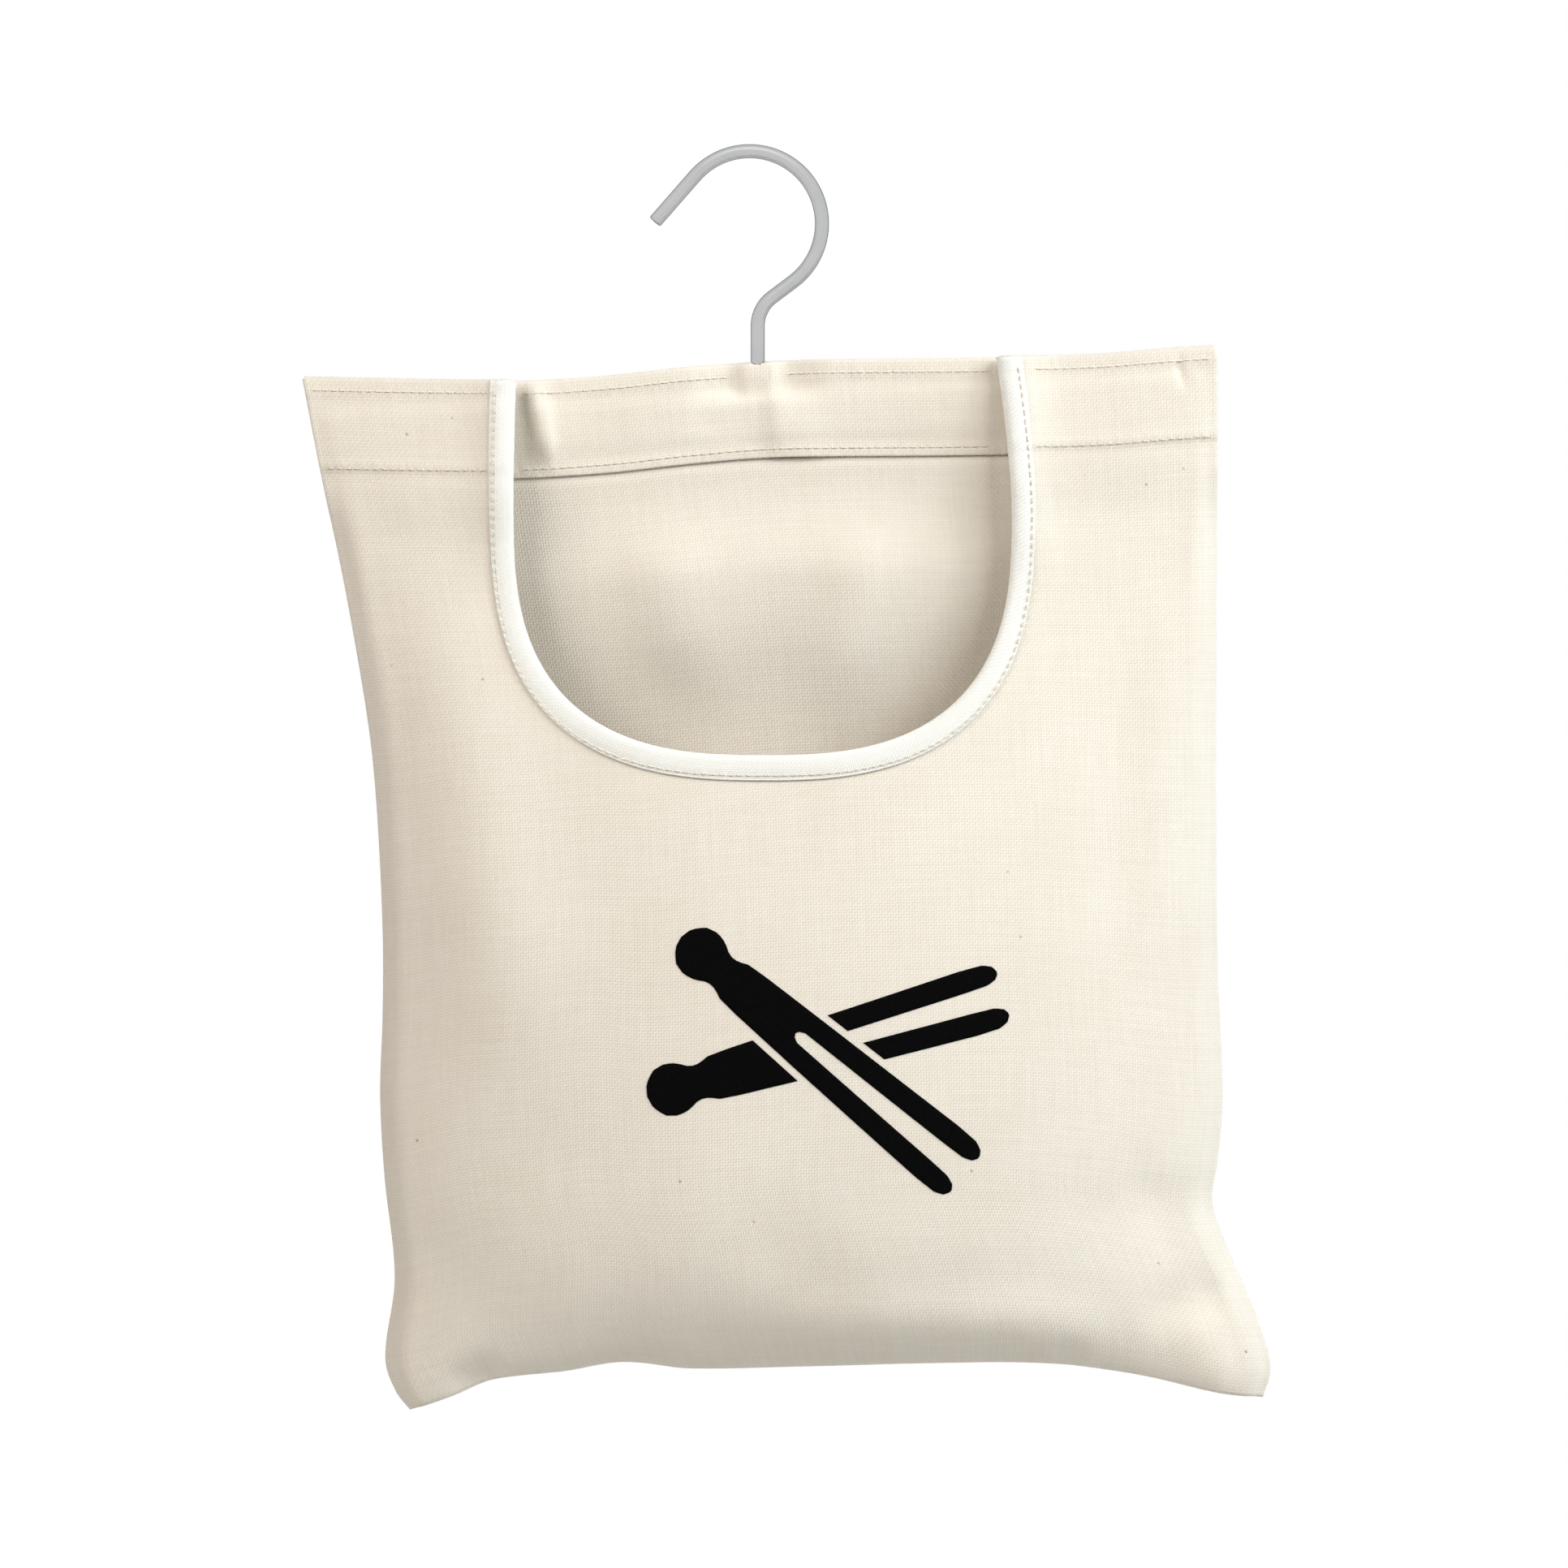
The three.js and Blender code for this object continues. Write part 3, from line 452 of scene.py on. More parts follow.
def coat(tree, colour, height, depth, values, strength=1.0):  # depth of the relief in mm
    bump = addNode(tree, "ShaderNodeBump", {
        "Height": height, "Strength": strength, "Distance": depth / 1000})[0]
    shader = addNode(tree, "ShaderNodeBsdfPrincipled", {"Base Color": colour, "Normal": bump, **values})[0]
    addNode(tree, "ShaderNodeOutputMaterial", {"Surface": shader})


def addObject(name, data):
    made = bpy.data.objects.new(name, data)
    bpy.context.collection.objects.link(made)
    return made


def newPiece(name, bm, material, body, replaced):
    bmesh.ops.recalc_face_normals(bm, faces=bm.faces[:])
    mesh = bpy.data.meshes.new(name)
    bm.to_mesh(mesh)
    bm.free()
    for polygon in mesh.polygons:
        polygon.use_smooth = True
    mesh.materials.append(material)
    piece = addObject(name, mesh)
    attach(piece, body)
    if replaced:
        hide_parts(*replaced)
    return piece


def thicken(piece, millimetres, offset=0.0):
    wall = piece.modifiers.new("thickness", "SOLIDIFY")
    wall.thickness = millimetres / 1000
    wall.offset = offset


# Plain-weave cotton: round threads over and under each other, slubs along both ways and a few
# seed flecks give the natural, slightly uneven ground of unbleached canvas.
canvasLook = {
    "colour": "#F1EADC", "shade": "#E9DFCF", "fleck": "#AE9370",
    "thread": 1.0,  # mm; real canvas has 0.5 mm threads, drawn coarser so that they show
    "weaveDepth": 0.065, "slubs": (30, 1.3), "cloud": (45, 60), "fleckSpacing": 17, "fleckSize": 0.35,
    "fleckShare": 0.45, "roughness": 0.93, "sheen": 0.06,
    # the cloth draws in along its stitched rows, by so many depths of the weave
    "rows": (4.7, 31), "pucker": 7.5, "puckerReach": 4, "puckerSize": (2.4, 9),
}


def weaveHeight(tree, place, thread):
    scale = math.pi / 10 / (thread / 1000)
    warp, weft = (addNode(
        tree, "ShaderNodeTexWave", {"Vector": place, "Scale": scale, "Distortion": 0.0},
        wave_type="BANDS", bands_direction=way)["Fac"] for way in ("X", "Y"))
    over = addNode(tree, "ShaderNodeTexChecker", {"Vector": place, "Scale": 1000 / thread})["Fac"]
    return addNode(tree, "ShaderNodeMix", {0: over, 2: warp, 3: weft}, data_type="FLOAT")[0]


def stretchedNoise(tree, place, size, detail):  # size of a spot along and across the cloth, mm
    scale = (1000 / size[0], 1000 / size[1], 1)
    wide = addNode(tree, "ShaderNodeMapping", {"Vector": place, "Scale": scale})[0]
    return addNode(tree, "ShaderNodeTexNoise", {
        "Vector": wide, "Scale": 1.0, "Detail": detail, "Roughness": 0.55})["Fac"]


def puckers(tree, place, look):
    down = addNode(tree, "ShaderNodeSeparateXYZ", {0: place})["Y"]
    drop = addNode(tree, "ShaderNodeMath", {0: down}, operation="ABSOLUTE")[0]
    drawn = stretchedNoise(tree, place, look["puckerSize"], 1.0)
    near = 0.0
    for row in look["rows"]:
        away = addNode(tree, "ShaderNodeMath", {0: drop, 1: row / 1000}, operation="SUBTRACT")[0]
        away = addNode(tree, "ShaderNodeMath", {0: away}, operation="ABSOLUTE")[0]
        close = addNode(tree, "ShaderNodeMapRange", {
            "Value": away, "From Max": look["puckerReach"] / 1000, "To Min": 1.0, "To Max": 0.0},
            interpolation_type="SMOOTHSTEP")[0]
        near = addNode(tree, "ShaderNodeMath", {0: near, 1: close}, operation="MAXIMUM")[0]
    deep = addNode(tree, "ShaderNodeMath", {0: near, 1: look["pucker"]}, operation="MULTIPLY")[0]
    return addNode(tree, "ShaderNodeMath", {0: drawn, 1: deep}, operation="MULTIPLY")[0]


def clothMaterial(name, look):
    material, tree, place = newMaterial(name, "cloth")
    weave = weaveHeight(tree, place, look["thread"])
    wefts = stretchedNoise(tree, place, look["slubs"], 2.0)
    warps = stretchedNoise(tree, place, look["slubs"][::-1], 2.0)
    cloud = stretchedNoise(tree, place, look["cloud"], 3.0)
    slubs = addNode(tree, "ShaderNodeMath", {0: wefts, 1: warps}, operation="ADD")[0]
    tone = addNode(tree, "ShaderNodeMath", {0: slubs, 1: cloud}, operation="ADD")[0]
    tone = addNode(tree, "ShaderNodeMapRange", {"Value": tone, "From Min": 1.0, "From Max": 2.0})[0]
    ground = addNode(tree, "ShaderNodeMix", {0: tone, 6: look["shade"], 7: look["colour"]},
                     data_type="RGBA")[2]
    cells = addNode(tree, "ShaderNodeTexVoronoi", {"Vector": place, "Scale": 1000 / look["fleckSpacing"]})
    size = look["fleckSize"] / look["fleckSpacing"]
    speck = addNode(tree, "ShaderNodeMapRange", {
        "Value": cells["Distance"], "From Min": size, "From Max": 2.2 * size, "To Min": 0.75,
        "To Max": 0.0})[0]
    chosen = addNode(tree, "ShaderNodeSeparateColor", {"Color": cells["Color"]})[0]
    rare = addNode(tree, "ShaderNodeMath", {0: chosen, 1: 1 - look["fleckShare"]},
                   operation="GREATER_THAN")[0]
    fleck = addNode(tree, "ShaderNodeMath", {0: speck, 1: rare}, operation="MULTIPLY")[0]
    colour = addNode(tree, "ShaderNodeMix", {0: fleck, 6: ground, 7: look["fleck"]}, data_type="RGBA")[2]
    raised = addNode(tree, "ShaderNodeMath", {0: slubs, 1: 0.35, 2: weave}, operation="MULTIPLY_ADD")[0]
    if "rows" in look:
        drawn = puckers(tree, place, look)
        raised = addNode(tree, "ShaderNodeMath", {0: raised, 1: drawn}, operation="ADD")[0]
    coat(tree, colour, raised, look["weaveDepth"],
         {"Roughness": look["roughness"], "Sheen Weight": look["sheen"], "Specular IOR Level": 0.25})
    return material


canvas = clothMaterial("unbleachedCottonCanvas", canvasLook)
print("canvas ready")

# Cotton tape: a finer, tighter and whiter weave than the canvas, so it reads as a smooth bright rim
tapeLook = {
    "colour": "#F9F8F1", "shade": "#F3F1E8", "fleck": "#E6DFCB", "thread": 0.7, "weaveDepth": 0.08,
    "slubs": (12, 0.9), "cloud": (45, 60), "fleckSpacing": 40, "fleckSize": 0.2, "fleckShare": 0.45,
    "roughness": 0.85, "sheen": 0.08,
}
tape = clothMaterial("bleachedCottonTape", tapeLook)

# Three-ply cotton sewing thread: a twisted cord whose plies show as slanting ridges, with painted shade in
# the grooves between them
threadLook = {"colour": "#F8F2E6", "shade": "#DDD0B9", "ply": 0.55, "plyDepth": 0.12, "roughness": 0.7}


def threadMaterial(look):
    material, tree, place = newMaterial("mercerisedCottonThread")
    scale = math.pi / 10 / (look["ply"] / 1000)
    plies = addNode(tree, "ShaderNodeTexWave", {
        "Vector": place, "Scale": scale, "Distortion": 1.5, "Detail": 1.0},
        wave_type="BANDS", bands_direction="DIAGONAL")["Fac"]
    # the shade colour falls where the ply wave is low, in the grooves: painted shade, not a colour of the
    # thread
    colour = addNode(tree, "ShaderNodeMix", {0: plies, 6: look["shade"], 7: look["colour"]},
                     data_type="RGBA")[2]
    coat(tree, colour, plies, look["plyDepth"], {"Roughness": look["roughness"], "Sheen Weight": 0.1})
    return material


thread = threadMaterial(threadLook)

# Beech, planed: pale pinkish brown with short darker flecks of its rays and a slow grain
beechLook = {
    "colour": "#D9B88C", "late": "#C49A6A", "ray": "#A97A4C", "grain": (83.333, 1.6), "rays": (3.0, 0.4),
    "relief": 0.2, "roughness": 0.55,
}


def beechMaterial(look):
    material, tree, place = newMaterial("planedBeech")
    along, rays = (addNode(tree, "ShaderNodeMapping", {
        "Vector": place, "Scale": (1000 / length, 1000 / width, 1000 / width)})[0]
        for length, width in (look["grain"], look["rays"]))
    grain = addNode(tree, "ShaderNodeTexNoise", {"Vector": along, "Scale": 1.0, "Detail": 4.0})["Fac"]
    flecks = addNode(tree, "ShaderNodeTexVoronoi", {"Vector": rays, "Scale": 1.0})["Distance"]
    rayShare = addNode(tree, "ShaderNodeMapRange", {
        "Value": flecks, "From Min": 0.05, "From Max": 0.3, "To Min": 0.6, "To Max": 0.0})[0]
    wood = addNode(tree, "ShaderNodeMix", {0: grain, 6: look["late"], 7: look["colour"]},
                   data_type="RGBA")[2]
    colour = addNode(tree, "ShaderNodeMix", {0: rayShare, 6: wood, 7: look["ray"]}, data_type="RGBA")[2]
    coat(tree, colour, grain, look["relief"], {"Roughness": look["roughness"]}, 0.5)
    return material


beech = beechMaterial(beechLook)

# Nickel-plated steel wire, drawn and bright: a grey metal with soft streaks of the drawing die
steelLook = {
    "colour": "#C3C3C4", "streak": "#BEBFC0", "edge": "#2C2D30", "streakSize": 0.5, "cloudSize": 11.111,
    "relief": 0.01, "roughness": 0.3, "uneven": 0.04,
}


def steelMaterial(look):
    material, tree, place = newMaterial("nickelPlatedSteelWire")
    streaks, cloud = (addNode(tree, "ShaderNodeTexNoise", {
        "Vector": place, "Scale": 1000 / look[size], "Detail": detail})["Fac"]
        for size, detail in (("streakSize", 3.0), ("cloudSize", 2.0)))
    share = addNode(tree, "ShaderNodeMapRange", {"Value": cloud, "From Min": 0.35, "From Max": 0.65})[0]
    colour = addNode(tree, "ShaderNodeMix", {0: share, 6: look["streak"], 7: look["colour"]},
                     data_type="RGBA")[2]
    rough, uneven = look["roughness"], look["uneven"]
    rough = addNode(tree, "ShaderNodeMapRange", {
        "Value": streaks, "To Min": rough - uneven, "To Max": rough + uneven})[0]
    # the dark edge colour as Specular Tint darkens the wire's reflection where it is seen at a slant: a
    # painted shade along its edges
    coat(tree, colour, streaks, look["relief"],
         {"Roughness": rough, "Metallic": 1.0, "Specular Tint": look["edge"]}, 0.2)
    return material


steel = steelMaterial(steelLook)

# Water-based screen ink: flat black that has soaked in, with the canvas weave still in relief
inkLook = {"colour": "#040404", "worn": "#0B0A0A", "wornSize": 1.4286, "relief": 0.1, "roughness": 0.85}


def inkMaterial(look):
    material, tree, place = newMaterial("screenPrintedInk")
    turned = addNode(tree, "ShaderNodeMapping", {"Vector": place, "Rotation": (math.radians(90), 0, 0)})[0]
    weave = weaveHeight(tree, turned, canvasLook["thread"])
    cover = addNode(tree, "ShaderNodeTexNoise", {
        "Vector": place, "Scale": 1000 / look["wornSize"], "Detail": 2.0})["Fac"]
    colour = addNode(tree, "ShaderNodeMix", {0: cover, 6: look["colour"], 7: look["worn"]},
                     data_type="RGBA")[2]
    coat(tree, colour, weave, look["relief"], {"Roughness": look["roughness"], "Specular IOR Level": 0.05})
    return material


ink = inkMaterial(inkLook)
print("materials ready")

# Grid lines of a panel at a seam: (inset from the seam, turn from the panel to its allowance)
seamLines = [(10, 1), (7.5, 1), (5, 1), (2.5, 1), (0.8, 1),  # allowance
             (0.52, 0.75), (0.4, 0.5), (0.52, 0.25), (0.8, 0),  # roll
             (1.6, 0), (2.8, 0), (4.2, 0), (5.8, 0)]
grid = {
    "allowance": 5, "roll": 4,  # numbers of lines
    "from": 7.5, "step": 2.2,
    "hem": [0.8, 2, 3.2, 4, 4.7, 5.4, 6.4, 7.8, 9.5, 11.3, 13.1, 14.9, 16.7, 18.5, 20.3, 22.1, 23.9, 25.7,
            27.4, 28.8, 29.8, 30.4, 31, 31.6, 32.3, 32.9, 33.35],
    "hemRoll": [(0.52, 0.75), (0.4, 0.5), (0.52, 0.25)], "casingTurn": 9,
    # x of finer lines: at a crease and the right top corner in front, round the shank at the back
    "frontDetail": (-80.5, -79, -77.5, 139.4, 140.3, 141.2, 142.1, 143, 143.9, 144.8, 145.7, 146.6),
    "backDetail": (-6.5, -5, -3.9, -2.9, -1.9, -0.9, 0, 0.9, 1.9, 2.9, 3.9, 5, 6.5),
}
pouchHeight = bag["height"] - bag["hem"]


def acrossLines(detail):
    width, start = bag["width"], grid["from"]
    count = round((width - 2 * start) / grid["step"])
    inner = [start + (width - 2 * start) * i / count for i in range(count + 1)]
    leftEnd, rightEnd = outline["left"][-1][1], outline["right"][-1][1]
    finer = [-leftEnd / (rightEnd - leftEnd) * width + x for x in detail]
    inner = [x for x in inner if min(abs(x - line) for line in finer) > grid["step"] / 2]
    lines = [(inset / width, turn) for inset, turn in seamLines]
    lines += [(x / width, 0) for x in sorted(inner + finer)]
    return np.array(lines + [(1 - inset / width, turn) for inset, turn in reversed(seamLines)])


def pouchLines():  # (down, turn from the panel to the bottom allowance)
    count = round((pouchHeight - grid["from"]) / grid["step"])
    lines = [(i * (1 - grid["from"] / pouchHeight) / count, 0) for i in range(count + 1)]
    return lines + [(1 - inset / pouchHeight, turn) for inset, turn in reversed(seamLines)]


def clothGrid(columns, rows):  # a flat grid and each vertex's column and row
    bm = bmesh.new()
    bmesh.ops.create_grid(bm, x_segments=columns - 1, y_segments=rows - 1, size=1)
    bm.verts.ensure_lookup_table()
    flat = np.array([v.co[:2] for v in bm.verts])
    steps = (flat - flat.min(axis=0)) / (flat.max(axis=0) - flat.min(axis=0))
    column = np.rint(steps[:, 0] * (columns - 1)).astype(int)
    row = np.rint((1 - steps[:, 1]) * (rows - 1)).astype(int)
    return bm, column, row


def layCloth(bm, x, y, z, u, v):
    layer = bm.loops.layers.uv.new("cloth")
    for vert in bm.verts:
        vert.co = toFrame(x[vert.index], y[vert.index], z[vert.index])
    for face in bm.faces:
        for loop in face.loops:
            loop[layer].uv = (u[loop.vert.index] / 1000, v[loop.vert.index] / 1000)


def dropFaces(bm, unwanted):
    bmesh.ops.delete(bm, geom=[f for f in bm.faces if unwanted(f)], context="FACES")
    bmesh.ops.delete(bm, geom=[v for v in bm.verts if not v.link_faces], context="VERTS")


def snapToMouth(x, z):  # moves the grid's points near the mouth's cut onto it
    reach = mouthReach(x, z, mouth["cut"])
    alongX, alongZ = slopes(lambda a, b: mouthReach(a, b, mouth["cut"]), x, z, 0.2)
    steep = np.maximum(alongX ** 2 + alongZ ** 2, 0.2)
    near = np.abs(reach) < 0.55 * grid["step"]
    movedX = np.where(near, x - reach * alongX / steep, x)
    return movedX, np.where(near & (z < -mouth["sideDrop"]), z - reach * alongZ / steep, z)


def canvasPanel(name, node, detail, hemTurns, rollFrom, shape):  # one cut of cloth, hemmed and turned
    lines, table = acrossLines(detail), np.array(hemTurns + pouchLines())
    bm, column, row = clothGrid(len(lines), len(table))
    across, sideTurn = lines[column, 0], lines[column, 1]
    place, rowTurn = table[row, 0], table[row, 1]
    inHem = row < len(hemTurns)
    hemX, hemZ = hemPlace(across, np.where(inHem, place, 0))
    pouchX, pouchZ = pouchPlace(across, np.where(inHem, 0, place))
    x, z = np.where(inHem, hemX, pouchX), np.where(inHem, hemZ, pouchZ)
    x, y, z, hemV, opening = shape(x, z, inHem, place, rowTurn, sideTurn)
    unfolded = np.where(across < 0.5, across, across - 1) * (1 - 2 * sideTurn) + np.where(across < 0.5, 0, 1)
    v = np.where(inHem, hemV, bag["hem"] + pouchHeight * (place + 2 * rowTurn * (1 - place)))
    outer = grid["allowance"] - 1

    def unwanted(face):  # what the hems and the seams' corners don't need
        corners = [vert.index for vert in face.verts]
        columns, rows = column[corners], row[corners]
        beside = min(columns.min(), len(lines) - 1 - columns.max())
        rolled = beside < outer + grid["roll"]
        ended = rows.min() < rollFrom or rows.max() > len(table) - grid["allowance"]
        return (beside < outer and rows.min() < len(hemTurns)) or (rolled and ended) or opening(corners)

    layCloth(bm, x, y, z, unfolded * bag["width"], v)
    dropFaces(bm, unwanted)
    panel = newPiece(name, bm, canvas, "bag", [node])
    thicken(panel, bag["cloth"])
    return panel


def shapeFront(x, z, inHem, place, rowTurn, sideTurn):
    x, z = snapToMouth(x, z)
    cloth, lean = bag["cloth"], slant(frontSkin, x, z)
    skin = frontSkin(x, z) + cloth / 2 * lean
    turned = np.maximum(halfTurn(rowTurn), halfTurn(sideTurn))
    inside = -(bag["gap"] + cloth) / 2 - forward(x, z)
    y = np.where(inHem, skin + cloth * lean * turned, mix(skin, inside, turned))
    reach = mouthReach(x, z, mouth["cut"])
    return x, y, z, place * (1 - 2 * rowTurn), lambda corners: reach[corners].mean() < 0


def shapeBack(x, z, inHem, place, rowTurn, sideTurn):
    cloth = bag["cloth"]
    flap = flapSkin(x, z) + cloth / 2 * slant(flapSkin, x, z)
    wall = backSkin(x, z) - cloth / 2 * slant(backSkin, x, z)
    hemY = mix(flap, wall - cloth * halfTurn(sideTurn), halfTurn(rowTurn))
    inside = (bag["gap"] + cloth) / 2 - forward(x, z)
    y = np.where(inHem, hemY, mix(wall, inside, np.maximum(halfTurn(rowTurn), halfTurn(sideTurn))))
    turning = inHem & (rowTurn > 0) & (rowTurn < 1)
    z = np.where(turning, z + (place - cloth / 2) * np.sin(math.pi * rowTurn), z)
    shank, hole = np.hypot(x, y), casing["shankRoom"] + casing["holeEase"]
    near = turning & (np.abs(shank - hole) < casing["holeGather"])
    x, y = np.where(near, x * hole / shank, x), np.where(near, y * hole / shank, y)

    def inHole(corners):
        return turning[corners].all() and shank[corners].mean() < hole

    return x, y, z, place * (2 * rowTurn - 1), inHole


hemTurns = [(drop, 1) for drop in reversed(grid["hem"])] + grid["hemRoll"]
hemTurns += [(drop, 0) for drop in grid["hem"]]
rollFrom = len(grid["hem"]) + len(grid["hemRoll"])
front = canvasPanel("front_canvas_panel", "front_panel", grid["frontDetail"], hemTurns, rollFrom, shapeFront)
print("front panel cut and hemmed")

drops, turnSteps = grid["hem"][1:], grid["casingTurn"]
hemTurns = [(drop, 0) for drop in reversed(drops)]
hemTurns += [(drops[0], i / turnSteps) for i in range(1, turnSteps)] + [(drop, 1) for drop in drops]
rollFrom = len(drops) + turnSteps - 1
back = canvasPanel("back_canvas_panel", "back_panel", grid["backDetail"], hemTurns, rollFrom, shapeBack)
print("back panel turned over for the casing")

binding = {
    "width": 9, "thickness": 0.7, "ease": 0.45, "belowTop": 0.35, "alongStep": 1.6,
    "insets": (9.0, 8.7, 8.1, 7.5, 6.9, 6, 5, 4, 3.1), "turnRadius": 1.75, "turnRoom": 0.35, "turnSteps": 8,
    "pressed": 3, "edgeEase": 0.12,  # the tape's edges lie closer to the cloth
    "puff": 0.35, "puffFrom": 7.5, "puffWidth": 7,
    "row": 7.3, "rowStep": 0.8, "rowEnds": 4,
}


def lengthsAlong(*path):
    return np.concatenate([[0], np.cumsum(np.sqrt(sum(np.diff(c) ** 2 for c in path)))])


def mouthWalk(step, inset=0.0):  # even steps along the mouth's edge between the two ends of the top edge
    fine = [mouthPlace(i / 1200, inset) for i in range(1201)]
    x, z = np.array([p for p in fine if topZ(p[0]) - p[1] > binding["belowTop"]]).T
    lengths = lengthsAlong(x, z)
    even = np.linspace(0, lengths[-1], max(round(lengths[-1] / step), 2) + 1)
    return np.interp(even, lengths, x), np.interp(even, lengths, z), even


def bindingTape():
    half, steps = binding["thickness"] / 2, binding["turnSteps"]
    section = [(inset, 1.0) for inset in binding["insets"]]
    section += [(None, 1 - i / steps) for i in range(steps + 1)]
    section += [(inset, 0.0) for inset in reversed(binding["insets"])]
    edgeX, edgeZ, lengths = mouthWalk(binding["alongStep"])
    outerX, outerZ, _ = mouthWalk(binding["alongStep"], binding["width"])
    bm, column, row = clothGrid(len(section), len(edgeX))
    share, outerShare = lengths / lengths[-1], np.linspace(0, 1, len(outerX))
    awayX = np.interp(share, outerShare, outerX) - edgeX
    awayZ = np.interp(share, outerShare, outerZ) - edgeZ
    away = np.hypot(awayX, awayZ)
    awayX, awayZ = awayX / away, awayZ / away
    x, y, z, u = (np.zeros(len(column)) for _ in range(4))
    for i, (inset, turn) in enumerate(section):
        at = column == i
        r = row[at]
        turned = half + binding["turnRadius"] * (1 - math.sin(math.pi * turn)) + binding["turnRoom"]
        place = turned if inset is None else inset
        px, pz = edgeX[r] + place * awayX[r], edgeZ[r] + place * awayZ[r]
        outer, lean = frontSkin(px, pz), slant(frontSkin, px, pz)
        inner = outer + frontLayers(px, pz) * bag["cloth"] * lean
        pressed = ramp(0, binding["pressed"], binding["width"] - place)
        puffed = min(max((binding["puffFrom"] - place) / binding["puffWidth"], 0), 1)
        puffed = binding["puff"] * math.sin(math.pi * puffed)
        out = mix(half + binding["edgeEase"], binding["ease"] + half + puffed, pressed) * lean
        x[at], z[at] = px, pz
        y[at] = mix(outer - out, inner + out, halfTurn(turn))
        u[at] = place if turn < 0.5 else -place
    layCloth(bm, x, y, z, u, lengths[row])
    piece = newPiece("mouth_binding_tape", bm, tape, "bag", ["opening_binding"])
    thicken(piece, binding["thickness"])
    return piece


bindingPiece = bindingTape()
print("mouth bound")

stitch = {
    "pitch": 3.0, "length": 2.35, "width": 0.62, "height": 0.5, "sunk": 0.05,
    "strays": 0.12, "lengths": (0.94, 1.05), "fromEdge": 2.5, "fromTape": 1.2, "fromRightTape": 4,
    "underTape": 1.5, "offTape": 0.05,
}


def dropPath(fromX, toX, drop):  # points along a row that keeps its distance from the top edge
    x = np.linspace(fromX, toX, max(int(abs(toX - fromX) / 0.5), 2) + 1)
    return x, topZ(x) - drop


def stitchRow(name, path, face, side, replaced):  # side -1 faces the front
    x, z = path
    y = face(x, z)
    lengths = lengthsAlong(x, y, z)
    count = max(int(lengths[-1] / stitch["pitch"]), 1)
    pitch = lengths[-1] / count
    slopesX, slopesZ = slopes(face, x, z, 0.8)
    draw = random.Random(name)
    bm = bmesh.new()
    for i in range(count):
        middle = (i + 0.5) * pitch + draw.uniform(-stitch["strays"], stitch["strays"])
        length = stitch["length"] * draw.uniform(*stitch["lengths"])
        start, end = (np.array([np.interp(middle + s * length / 2, lengths, c) for c in (x, y, z)])
                      for s in (-1, 1))
        along = Vector(end - start).normalized()
        slopeX, slopeZ = np.interp(middle, lengths, slopesX), np.interp(middle, lengths, slopesZ)
        out = Vector((-slopeX, 1, -slopeZ)).normalized() * side
        across = along.cross(out).normalized()
        out = across.cross(along)
        centre = Vector((start + end) / 2) + out * (stitch["height"] / 2 - stitch["sunk"])
        axes = (along * length / 2, across * stitch["width"] / 2, out * stitch["height"] / 2)
        matrix = Matrix.Translation(toFrame(*centre)) @ (Matrix(axes).transposed() * 0.001).to_4x4()
        bmesh.ops.create_uvsphere(bm, u_segments=8, v_segments=6, radius=1,
                                  matrix=matrix @ Matrix.Rotation(math.pi / 2, 4, "Y"))
    return newPiece(name, bm, thread, "bag", replaced)


def rowEnd(side, drop):  # where a row starts from the side edge
    x, _ = hemPlace(0.0 if side == "left" else 1.0, drop)
    return float(x) + (stitch["fromEdge"] if side == "left" else -stitch["fromEdge"])


leftNeck = mouth["offset"] - mouth["half"] + mouth["closingLeft"]
rightNeck = mouth["offset"] + mouth["half"] - mouth["closingRight"]
clear = binding["width"] + stitch["fromTape"]
leftShoulder, rightShoulder = leftNeck - clear, rightNeck + clear + stitch["fromRightTape"]
leftFlap, rightFlap = leftNeck + stitch["underTape"], rightNeck - stitch["underTape"]
top, hem, low, shank = bag["topRow"], bag["shoulderRow"], bag["casingRow"], casing["shankReach"]
for name, start, end, drop, face, side in (
        ("left_shoulder_top", rowEnd("left", top), leftShoulder, top, frontSkin, -1),
        ("left_shoulder_hem", rowEnd("left", hem), leftShoulder, hem, frontSkin, -1),
        ("right_shoulder_top", rightShoulder, rowEnd("right", top), top, frontSkin, -1),
        ("right_shoulder_hem", rightShoulder, rowEnd("right", hem), hem, frontSkin, -1),
        ("left_casing_top", leftFlap, -shank, top, flapSkin, -1),
        ("right_casing_top", shank, rightFlap, top, flapSkin, -1),
        ("casing", leftFlap, rightFlap, low, flapSkin, -1),
        ("left_back_top", rowEnd("left", top), -shank, top, backSkin, 1),
        ("right_back_top", shank, rowEnd("right", top), top, backSkin, 1),
        ("back_casing", rowEnd("left", low), rowEnd("right", low), low, backSkin, 1)):
    stitchRow(name + "_stitches", dropPath(start, end, drop), face, side, [name + "_stitching"])


def tapeFace(x, z):
    off = binding["ease"] + binding["thickness"] + stitch["offTape"]
    return frontSkin(x, z) - off * slant(frontSkin, x, z)


rowX, rowZ, _ = mouthWalk(binding["rowStep"], binding["row"])
inner = slice(binding["rowEnds"], -binding["rowEnds"])
stitchRow("mouth_binding_stitches", (rowX[inner], rowZ[inner]), tapeFace, -1, ["binding_stitching"])
print("stitches sewn")

